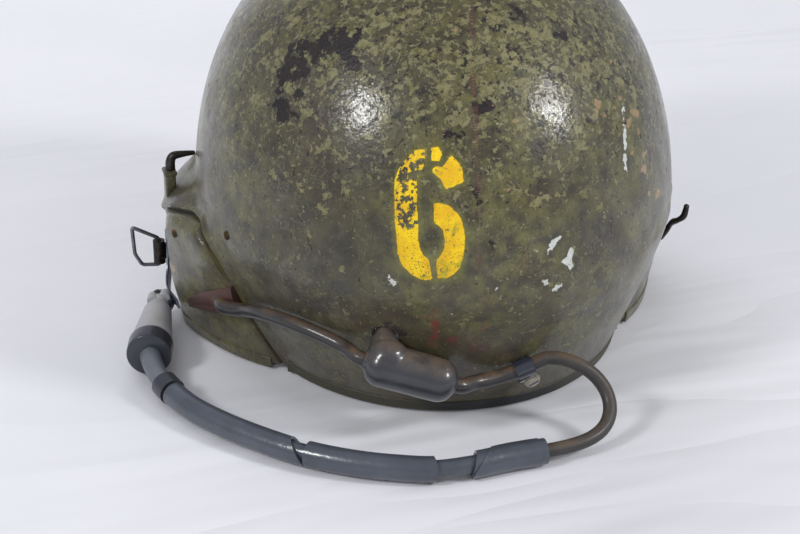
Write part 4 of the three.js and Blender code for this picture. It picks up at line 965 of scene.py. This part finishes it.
def edge_bead(name, places, on_floor, replaces, material, core=None):
    """Channel over an edge, as a rounded bead that takes the wall's edge in; core is a point it turns from."""
    places = np.array(places)
    u, z = places[:, 0], places[:, 1]
    points = outer(u, z)
    n = normal(u, z)
    away = unit(np.cross(np.gradient(points, axis=0), n))
    inward = (outer(u, z + 8) - points) if core is None else core - points
    away *= np.where((away * inward).sum(-1) > 0, -1.0, 1.0)[:, None]
    half_n, half_a = (WALL + 2 * BINDING_WALL) / 2, (BINDING_DEPTH + BINDING_WALL) / 2
    angles = circle(24)
    a = -WALL / 2 + half_n * squared(np.cos(angles), 0.42)
    b = BINDING_WALL - half_a + half_a * squared(np.sin(angles), 0.42)
    grid = points[:, None] + n[:, None] * a[None, :, None] + away[:, None] * b[None, :, None]
    if on_floor:
        low = b > 0
        grid[..., 2] = np.where(grid[..., 2] < 0, 0, grid[..., 2])
        grid[:, low, 2] = np.where(z[:, None] < 1.5 * RIM_LIFT, np.minimum(grid[:, low, 2], 0.9), grid[:, low, 2])
    return ring_piece(name, grid, material, replaces=replaces, slot="binding")


def make_bindings():
    angles = np.radians(np.linspace(-64.4, 64.4, 154))
    rim = edge_bead("nape_binding", [(a, RIM_LIFT) for a in angles], True, ["nape_trim"], BINDING)
    across = np.array([v.co.x * 1000 for v in rim.data.vertices]) - OFFSET[0]
    paint_field(rim, "fade", 1 - bell(across + 5, 40, 4))
    brow = chain_line(BROW[2:], 70)
    left = np.vstack([brow, brow_run(brow[-1], 16)])
    right = left[:-1][::-1].copy()
    right[:, 0] = 2 * math.pi - right[:, 0]
    edge_bead("brow_binding", np.vstack([left, right]), False, ["brow_trim"], BINDING)
    s = np.linspace(0.03, 1, 110)
    t = np.linspace(0, 0.5, 40)[1:]
    foot = door_places(s, 0 * s)
    front = door_places(np.ones_like(t), t)
    y, z = (np.vstack([foot, front]) * [HALF_LENGTH, WIDEST]).T
    u = side_angle(y, z)
    # A point in the middle of the door
    core = outer(side_angle(-8.0, 34.0), 34.0)
    for side, name in ((1, "left"), (-1, "right")):
        edge_bead(f"door_binding_{name}", np.stack([side * u, z], -1), True, [f"door_trim_{name}"],
                  HARDWARE_PAINT, core * np.array([side, 1, 1]))


# Cables, junction and cord

def make_cables():
    inside, exit_point = side_point(*BOOT_INSIDE), side_point(*BOOT_EXIT)
    axis = unit(exit_point - inside)
    capsule = [nape(JUNCTION[0]), nape(JUNCTION[1])]
    along = unit(capsule[1] - capsule[0])
    start, end = capsule[0] - along * 9.9, capsule[1] + along * 9.3
    ear = relax(curve([inside, exit_point + 0.3 * axis, exit_point + 2.5 * axis, *map(nape, EAR_CABLE),
                       start - 3 * along, start + 2 * along], 170), 60)
    swell = 1 + 0.10 * bell(np.arange(170), 30)
    tube("ear_lead", ear, 3.5 * swell, CABLE, replaces=["ear_cable"], slot="cord_rubber")
    nape_line = relax(curve([end - 3 * along, end + 3 * along, *map(nape, NAPE_CABLE)], 120), 90)
    tube("nape_lead", nape_line, np.linspace(3.9, CABLE_RADIUS + 0.1, 120), CABLE, replaces=["nape_cable"],
         slot="rubber")
    make_junction(capsule, along)
    make_boot(inside, exit_point)
    return nape_line


def make_junction(capsule, along):
    """Moulded capsule whose stub grows out of it."""
    length = np.linalg.norm(capsule[1] - capsule[0])
    profile = [(-9.6, 0.0), (-9.6, 4.4), (-8.4, 4.9)]
    profile += [(-9 * math.cos(a), 11 * math.sin(a) ** 0.8) for a in np.linspace(0.55, math.pi / 2, 12)]
    profile += [(length + 9 * math.cos(a), 10.6 * math.sin(a) ** 0.8) for a in np.linspace(math.pi / 2, 0.5, 12)]
    profile += [(length + 8.6, 4.6), (length + 9.2, 4.0), (length + 9.2, 0.0)]
    body = lathe("junction_body", capsule[0], capsule[1], profile, RUBBER, sides=64, replaces=["junction"])
    stub_line = curve([nape(p) for p in STUB] + [capsule[0] + along * 4], 60)
    stub_radius = np.interp(np.arange(60), [0, 16, 30, 44, 59], [5.0, 5.2, 7.4, 10.6, 10.9])
    stub = tube("junction_stub", stub_line, stub_radius, RUBBER, dome=False)
    bm = bmesh.new()
    bm.from_mesh(body.data)
    bm.from_mesh(stub.data)
    bm.to_mesh(body.data)
    bm.free()
    bpy.data.objects.remove(stub)
    remesh = body.modifiers.new("remesh", "REMESH")
    remesh.mode, remesh.voxel_size, remesh.use_smooth_shade = "VOXEL", 0.0006, True
    smooth = body.modifiers.new("smooth", "SMOOTH")
    smooth.iterations = 8
    apply_modifiers(body)
    body.data.shade_smooth()


def make_boot(inside, exit_point):
    """Brown flap on the door that the cable comes out of."""
    rows, columns = 26, 40
    upper = even(np.array([(-6.0, 21.5), (8, 31.5), (22, 39.5), (32.6, 45.5)]), columns)
    lower = even(np.array([(-6.0, 17.0), (10, 22.0), (24, 27.0), (35.6, 31.5)]), columns)
    t = np.linspace(0, 1, rows)[:, None, None]
    places = lower[None] * (1 - t) + upper[None] * t
    swell = np.sin(np.linspace(0.12, math.pi - 0.12, rows))[:, None] ** 0.55
    open_ = 0.5 + 2.6 * ease(np.linspace(0, 1, columns) / 0.8)[None]
    crease = 0.5 * bell(t[..., 0] - 0.35, 0.1)
    lift = 0.15 + swell * open_ - crease
    y, z = places[..., 0], places[..., 1]
    top = off(side_angle(y, z), z, lift)
    below = off(side_angle(y, z), z, 0 * lift - 1.0)
    fix_normals(wall_piece("boot_flap", top, below, BOOT, replaces=["cable_boot"], slot="boot"))
    profile = rounded([(4, 0), (4, 4.9), (8, 4.8), (11.2, 4.1), (11.2, 0)], 0.5)
    lathe("boot_grommet", inside, exit_point, profile, BOOT, slot="boot")


def make_clamp(nape_line):
    centre = nape(CLAMP_PLACE)
    at = int(np.argmin(np.linalg.norm(nape_line - centre, axis=1)))
    along = unit(nape_line[min(at + 3, 119)] - nape_line[at - 3])
    middle = nape_line[at]
    tube("band_clamp", middle + along * np.linspace(-4.5, 4.5, 20)[:, None], 4.7, BAND_METAL, sides=40, wall=0.9,
         replaces=["cable_clamp"], slot="dark_metal")
    start, towards = nape((*SCREW_PLACE, 4.4)), nape((*SCREW_PLACE, 8))
    n = unit(towards - start)
    head = rounded([(0, 0), (0, 4.3), (1.6, 4.3), (3.0, 3.4), (3.4, 2.6), (3.4, 0)], 0.6)
    lathe("clamp_screw_head", start, towards, head, NICKEL, replaces=["clamp_screw"], slot="nickel")
    side = unit(np.cross(n, [0.5, 0, 1.0]))
    # A thin dark strip laid on the head is painted shade for the screw's slot; the head itself is not cut
    slot_shade_path = start + n * 3.42 + side * np.linspace(-2.7, 2.7, 12)[:, None]
    flat_strip("screw_slot_shade", slot_shade_path, np.cross(n, side), 0.9, 0.3, DARK_SLEEVE)
    # Tab of the clamp that the screw holds down
    under = middle + np.array([0, 0, -5.4]) + 0.6 * n
    end = start - 0.2 * n
    tab = [under, 0.4 * under + 0.6 * start + 0.4 * n, end, end + unit(start - under) * 3.4]
    flat_strip("clamp_tab", curve(tab, 24), along, 7.5, 1.0, BAND_METAL)
    lathe("clamp_post", start - 5.2 * n, start, [(0, 0), (0, 2.6), (5.2, 2.6), (5.2, 0)], DARK_METAL)


def flat_strip(name, path, across, width, thick, material, **options):
    """Flat bar along a path, with rounded edges."""
    path = np.asarray(path)
    along = unit(np.gradient(path, axis=0))
    across = np.broadcast_to(across, path.shape)
    across = unit(across - along * (across * along).sum(-1)[:, None])
    up = np.cross(along, across)
    width = np.broadcast_to(np.asarray(width, float), len(path))
    angles = circle(20)
    c, s = squared(np.cos(angles), 0.3), squared(np.sin(angles), 0.5)
    grid = (path[:, None] + across[:, None] * (c[None] * width[:, None] / 2)[..., None]
            + up[:, None] * (s * thick / 2)[None, :, None])
    return ring_piece(name, grid, material, **options)


def part_of(path, start, stop, count):
    """Even points between two shares of a path's length."""
    dense = even(path, 2000)
    a, b = int(start * 1999), int(stop * 1999)
    return even(dense[a:b + 1], count)


def make_cord(nape_line):
    leaving = unit(nape_line[-1] - nape_line[-4])
    start = nape_line[-1] + 0.3 * leaving
    bare = relax(curve([start, start + 3 * leaving, *CORD_ROUTE], 160), 160)
    sleeve = curve(SLEEVE_ROUTE, 400)
    tail = curve(TAIL_ROUTE, 80)
    whole = even(np.vstack([bare, sleeve[1:], tail[2:]]), 420)
    cord = tube("free_cord", whole, CABLE_RADIUS, CORD, dome=False, replaces=["cord"], slot="cord_rubber")

    def on_cord(name, start, stop, radius, material, node, slot, path=sleeve, **options):
        count = max(12, int(line_length(path) * (stop - start) / 1.6))
        tube(name, part_of(path, start, stop, count), radius, material, replaces=[node], slot=slot,
                           **options)

    def sleeve_of(name, start, stop, node, skew, turn=0.0, wall=SLEEVE_WALL, more=0.0):
        on_cord(name, start, stop, SLEEVE_RADIUS + more, VINYL, node, "vinyl", wall=wall, skew=skew, turn=turn)

    sleeve_of("vinyl_sleeve_1", 0.004, 0.178, "sleeve_1", (0, 2.2), -2.5)
    sleeve_of("vinyl_flap", 0.02, 0.158, "sleeve_1", (0, 6.5), -2.5, 0.8, 0.45)
    on_cord("vinyl_core", 0.14, 0.62, CORE_RADIUS, VINYL, "cord_core", "cord_rubber", dome=False)
    sleeve_of("vinyl_sleeve_2", 0.268, 0.565, "sleeve_2", (1.2, 0))
    sleeve_of("vinyl_sleeve_3", 0.588, 0.998, "sleeve_3", (5.0, 0), 1.0)
    on_cord("sleeve_collar", 0.02, 0.26, 6.9, DARK_SLEEVE, "sleeve_band", "dark_sleeve", path=tail, wall=0.9)
    tube("plug_relief", part_of(tail, 0.1, 0.9, 40), np.linspace(4.6, 5.4, 40), CORE, dome=False,
                       replaces=["strain_relief"], slot="cord_rubber")
    collar, body = PLUG_AXIS
    axis = unit(body - collar)
    # Turned parts of the plug: distance of the base along its axis, then the profile from there
    for name, base, profile, material, node, slot in (
        ("plug_ring", 0, [(-4, 0), (-4, 8), (-3, 11.5), (8, 11.6), (9, 10), (9, 0)], DARK_SLEEVE, "plug_collar",
         "dark_sleeve"),
        ("plug_shell", 0, [(9.3, 0), (9.3, 10.4), (16, 10.2), (30, 8.7), (44, 7.4), (46, 6.4), (46, 0)], PLUG,
         "plug_body", "plug"),
        ("plug_throat", PLUG_THROAT, [(0, 0), (0, 5.6), (3, 5.4), (3.6, 4.9), (5.4, 4.9), (6, 5.4), (9, 5.4), (10, 4.6),
                                      (10, 0)], PLUG, "plug_neck", "plug"),
        ("plug_end", PLUG_END, [(0, 0), (0, 4), (6, 4), (7, 3), (7, 0)], DARK_METAL, "plug_tip", "dark_metal"),
    ):
        base = collar + axis * base
        lathe(name, base, base + axis, rounded(profile, 0.9), material, sides=56, replaces=[node],
                            slot=slot)
    latch = lathe("plug_latch", [146.0, -29.0, 13.8], [135.5, -21.5, 9.4], rounded(
        [(0, 0), (0, 3.8), (1.5, 5.0), (11, 5.0), (12.5, 3.6), (12.5, 0)], 0.8), DARK_SLEEVE)
    for turn in (0.4, 2.5):
        low = collar + axis * PLUG_TABS + np.array([math.cos(turn) * 3.6, 0, math.sin(turn) * 3.6 + 1.2])
        tab = rounded([(0, 0), (0, 3.2), (6.5, 3.0), (7.5, 0)], 0.8)
        lathe("plug_tab", low, low + axis, tab, PLUG, sides=28)


# Small hardware

def make_lug(side, name):
    """Painted clip over the door that holds the spring's foot."""
    low, high = solid_corners(f"spring_lug_{name}")
    out = (high[0] if side > 0 else -low[0]) - 5.4
    y = (low[1] + high[1]) / 2
    bm = bmesh.new()
    for width, depth, bottom, top in ((5.6, 8.2, low[2] - 1, high[2] - 1.2), (7.0, 9.6, high[2] - 2.6, high[2])):
        made = bmesh.ops.create_cube(bm, size=1)["verts"]
        place = Matrix.Translation(Vector((side * out, y, (bottom + top) / 2)))
        bmesh.ops.transform(bm, matrix=place @ Matrix.Diagonal((width, depth, top - bottom, 1)), verts=made)
    bmesh.ops.bevel(bm, geom=bm.edges[:], offset=1.1, segments=4, affect="EDGES", profile=0.5)
    vertices = [list(v.co) for v in bm.verts]
    faces = [[v.index for v in f.verts] for f in bm.faces]
    bm.free()
    add_mesh(f"lug_clip_{name}", vertices, faces, HARDWARE_PAINT, replaces=[f"spring_lug_{name}"], slot="paint",
             sharp=50)


def make_spring(side, name):
    low, high = solid_corners(f"door_spring_{name}")
    foot_x, inner_x = (high[0], low[0]) if side > 0 else (-low[0], -high[0])
    y = (low[1] + high[1]) / 2
    way = [(foot_x - 2.6, y, low[2]), (foot_x - 2.8, y, low[2] + 4.2), (foot_x - 4.2, y, low[2] + 7.0),
           (inner_x + 5.2, y, high[2] - 6.6), (inner_x + 0.4, y, high[2] - 6.6)]
    path = curve(np.array(way) * np.array([side, 1, 1]), 60)
    radius = np.interp(np.linspace(0, 1, 60), [0, 0.25, 0.5, 0.8, 1], [2.6, 2.5, 2.1, 1.5, 1.2])
    tube(f"spring_rod_{name}", path, radius, DARK_METAL, replaces=[f"door_spring_{name}"], slot="dark_metal")


def make_rivets(side, name):
    dome = rounded([(0, 0), (0, 2.3), (0.3, 2.2), (0.7, 1.8), (0.95, 1.1), (1.05, 0.4), (1.05, 0)], 0.3)
    for rivet, back, height, rise in (("door_rivet", -0.036, 0.8, 2.4), ("shell_rivet", 0.3, 1.03, 0.2)):
        start, towards = (side_point(back, height, lift, side) for lift in (rise, rise + 5))
        lathe(f"{rivet}_head_{name}", start, towards, dome, RUST, sides=32, replaces=[f"{rivet}_{name}"], slot="rust")


def make_bail():
    """Bracket strap on the left door, with its barrel and the bent wire that turns in it."""
    # Places down the strap: share of the half length, share of WIDEST, width, distance from the paint
    places = [(-0.36, 0.56, 5, 1.6), (-0.35, 0.4, 7, 2.4), (-0.32, 0.27, 7, 3.8), (-0.24, 0.2, 6, 4.2),
              (-0.12, 0.19, 6, 2.2)]
    path = curve([side_point(b, h, lift) for b, h, _, lift in places], 60)
    back, height, width, _ = (np.interp(np.linspace(0, 4, 60), range(5), column) for column in zip(*places))
    n = unit(side_point(back, height, 2.0) - side_point(back, height, 0.0))
    across = np.cross(np.gradient(path, axis=0), n)
    flat_strip("bail_strap", path, across, width, 1.4, ZINC, replaces=["bracket_strap"], slot="zinc")
    low, high = solid_corners("bail_barrel")
    radius = (high[1] - low[1]) / 2
    axis = np.array([high[0] - radius, (low[1] + high[1]) / 2, (low[2] + high[2]) / 2])
    up = np.array([0, 0, 1.0])
    path = axis + up * np.linspace(low[2] - axis[2], high[2] - axis[2], 24)[:, None]
    tube("bail_hub", path, radius, DARK_METAL, sides=40, wall=radius - 1.35, replaces=["bail_barrel"],
         slot="dark_metal")
    foot = side_point(-0.35, 0.4, 1.0)
    flat_strip("bail_stem", np.linspace(foot, axis - np.array([radius - 0.5, 0, 0]), 8), up, 9.0, 3.0, DARK_METAL,
               slot="dark_metal")
    # The wire's closed loop, with rounded corners
    half = (high[2] - low[2]) / 2 + 1.35
    corners = np.array([(0, -half), (0, half), (14, half + 8), (13.2, 0), (9.6, -half + 1)])
    loop = []
    for a, b, c in zip(np.roll(corners, 1, 0), corners, np.roll(corners, -1, 0)):
        p, q = b + unit(a - b) * 1.6, b + unit(c - b) * 1.6
        loop += [(1 - t) ** 2 * p + 2 * t * (1 - t) * b + t * t * q for t in np.linspace(0, 1, 6)]
    loop = even(np.array(loop + [loop[0]]), 150)[:-1]
    centre = np.stack([axis[0] + loop[:, 0], np.full(len(loop), axis[1]), axis[2] + loop[:, 1]], -1)
    along = unit(np.roll(centre, -1, 0) - np.roll(centre, 1, 0))
    sides, flat = 14, np.array([0, 1.0, 0])
    angles = circle(sides)[None, :, None]
    grid = centre[:, None] + 1.05 * (np.cos(angles) * flat + np.sin(angles) * np.cross(along, flat)[:, None])
    ring = [j % sides for j in range(sides + 1)]
    faces = grid_faces(len(grid), sides, 0, True) + edge_strip([(len(grid) - 1) * sides + j for j in ring], ring)
    fix_normals(add_mesh("bail_wire", grid.reshape(-1, 3), faces, STEEL, replaces=["wire_bail"], slot="steel",
                         body="bail"))


def make_hook():
    hook = [(-0.01, 0.36, 1.8), (0.02, 0.46, 3.8), (0.055, 0.545, 5.6), (0.1, 0.61, 8.2), (0.13, 0.68, 11),
            (0.145, 0.77, 11.6)]
    path = curve([side_point(*place, -1) for place in hook], 70)
    radius = 1.5 + 0.25 * np.sin(np.linspace(0, 3 * math.pi, 70)) ** 2
    tube("door_hook", path, radius, DARK_METAL, replaces=["side_hook"], slot="dark_metal")


def make_pad(side):
    """Ring cushion, swollen between its seams and flat where it meets the door."""
    name = "left" if side > 0 else "right"
    turns, around = 120, 44
    angle, v = circle(turns), circle(around)
    mid, half = (PAD_RADIUS + PAD_BORE) / 2, (PAD_RADIUS - PAD_BORE) / 2
    c, s = squared(np.cos(v), 0.62), squared(np.sin(v), 0.72)
    radius = mid + (half - 0.4) * c[None] * (1 + 0.015 * np.sin(9 * angle)[:, None])
    y = PAD_CENTRE[0] + radius * np.cos(angle)[:, None]
    z = PAD_CENTRE[1] + radius * np.sin(angle)[:, None]
    u = side_angle(y, z)
    n = normal(u, z)
    back = outer(u, z)[..., 0] - (WALL + 1.2 + 3 * ease((z - 0.62 * WIDEST) / (0.2 * WIDEST))) / n[..., 0]
    seam = 0.7 * bell(s, 0.16)[None]
    face = PAD_FACE + 0.6 + 0.5 * np.sin(7 * angle + 1)[:, None] ** 2
    t = (s[None] + 1) / 2
    x = face * (1 - t) + back * t
    y -= np.cos(angle)[:, None] * seam * np.sign(c)[None]
    z -= np.sin(angle)[:, None] * seam * np.sign(c)[None]
    grid = np.stack([side * x, y, z], -1)
    faces = []
    for i in range(turns):
        for j in range(around):
            k, m = (i + 1) % turns, (j + 1) % around
            faces.append((i * around + j, k * around + j, k * around + m, i * around + m))
    piece = fix_normals(add_mesh(f"cushion_{name}", grid.reshape(-1, 3), faces, LEATHER,
                                 replaces=[f"ear_pad_{name}"], slot="leather"))


# Studio

LIGHTS = [  # name, direction from the aim, distance in metres, size, watts, aim
    ("softbox_left", (0.725, 0.35, 0.593), 1.5, (0.25, 0.22), 7.6, (0, 0, 90)),
    ("softbox_right", (-0.644, 0.522, 0.56), 1.5, (0.23, 0.27), 9.4, (0, 0, 90)),
    ("front_fill", (0.12, 0.95, 0.55), 1.9, (1.7, 1.1), 6.0, (0, 0, 90)),
    ("back_fill", (0.1, -1.15, 0.9), 1.5, (1.6, 1.0), 9.5, (0, -850, 0)),
]
SKY, SKY_STRENGTH = (0.95, 0.965, 1.0, 1), 0.48
# Cloth in metres: half width, where it starts, bends and stands, radius of the bend, height
CLOTH_SIDE, CLOTH_NEAR, CLOTH_BEND, CLOTH_BACK, CLOTH_RISE, CLOTH_TOP = 3.0, 2.6, -1.3, -1.9, 0.6, 3.0
CLOTH_ROWS = 220


def make_cloth():
    """Cloth that lies on the floor and rises behind the helmet."""
    look = Look("cloth", roughness=0.85, specular=0.25, sheen=0.2)
    tone = look.noise(3, 3, 0.5)
    colour = look.mix(look.step(tone, 0.3, 0.7), rgb(213, 214, 220), rgb(223, 223, 228))
    folds = look.noise(3.2, 3, 0.5, 0.5, stretch=(0.8, 2.6, 1.0))
    creases = look.math("ABSOLUTE", look.minus(look.noise(2.1, 3, 0.5, 0.8, stretch=(0.7, 2.2, 1.0)), 0.5))
    cloth = look.finish(colour, None, look.plus(folds, look.times(look.step(creases, 0.0, 0.1), 0.25)), 9)
    xs = np.linspace(-CLOTH_SIDE, CLOTH_SIDE, 150)
    bend = np.linspace(0, math.pi / 2, 16)[1:]
    run = np.concatenate([np.linspace(CLOTH_NEAR, CLOTH_BEND, CLOTH_ROWS), CLOTH_BEND - CLOTH_RISE * np.sin(bend)])
    rise = np.concatenate([np.zeros(CLOTH_ROWS), CLOTH_RISE * (1 - np.cos(bend))])
    run, rise = np.append(run, CLOTH_BACK), np.append(rise, CLOTH_TOP)
    xx, yy = np.meshgrid(xs, run)
    zz = np.repeat(rise[:, None], len(xs), 1)
    # Soft folds in the cloth, that only sink below the floor
    fold = (np.sin(9 * yy + 2.0 * np.sin(1.7 * xx) + 1.2 * xx) * 0.5
            + np.sin(23 * yy - 3 * xx + 2 * np.sin(3.1 * xx)) * 0.3 + np.sin(41 * yy + 6 * xx) * 0.12)
    zz = np.where(rise[:, None] == 0, -0.0004 * (1 + fold) - 0.0001, zz)
    mesh = bpy.data.meshes.new("cloth")
    mesh.from_pydata(np.stack([xx, yy, zz], -1).reshape(-1, 3).tolist(), [], grid_faces(len(run), len(xs)))
    mesh.shade_smooth()
    mesh.materials.append(cloth)
    floor = bpy.data.objects.new("cloth", mesh)
    bpy.context.scene.collection.objects.link(floor)


def make_lights():
    world = bpy.data.worlds.new("studio")
    bpy.context.scene.world = world
    world.use_nodes = True
    sky = world.node_tree.nodes["Background"]
    sky.inputs[0].default_value, sky.inputs[1].default_value = SKY, SKY_STRENGTH
    for name, direction, distance, size, power, aim in LIGHTS:
        light = bpy.data.lights.new(name, "AREA")
        light.shape, light.size, light.size_y, light.energy = "RECTANGLE", *size, power
        lamp = bpy.data.objects.new(name, light)
        # The fills leave no reflection of their own on the paint
        lamp.visible_glossy = "fill" not in name
        lamp.location = Vector(metres(1000 * distance * unit(np.array(direction))).tolist())
        towards = lamp.location - Vector(metres(aim).tolist())
        lamp.rotation_euler = towards.to_track_quat("Z", "Y").to_euler()
        bpy.context.scene.collection.objects.link(lamp)


def make_camera():
    bpy.context.scene.view_settings.view_transform = "Standard"
    camera = bpy.data.cameras.new("camera")
    camera.sensor_width, camera.lens = SENSOR, FOCAL_PIXELS / PICTURE[0] * SENSOR
    camera.clip_start, camera.clip_end = 0.05, 20
    eye = bpy.data.objects.new("camera", camera)
    eye.location = metres(EYE).tolist()
    eye.rotation_euler = Vector((-LOOK).tolist()).to_track_quat("Z", "Y").to_euler()
    bpy.context.scene.collection.objects.link(eye)
    bpy.context.scene.camera = eye


make_cloth()
make_lights()
make_camera()
nape_line = make_cables()
make_cord(nape_line)
make_shell()
make_door(1)
make_door(-1)
make_bindings()
make_clamp(nape_line)
for side, name in ((1, "left"), (-1, "right")):
    make_lug(side, name)
    make_spring(side, name)
    make_rivets(side, name)
make_bail()
make_hook()
make_pad(1)
make_pad(-1)
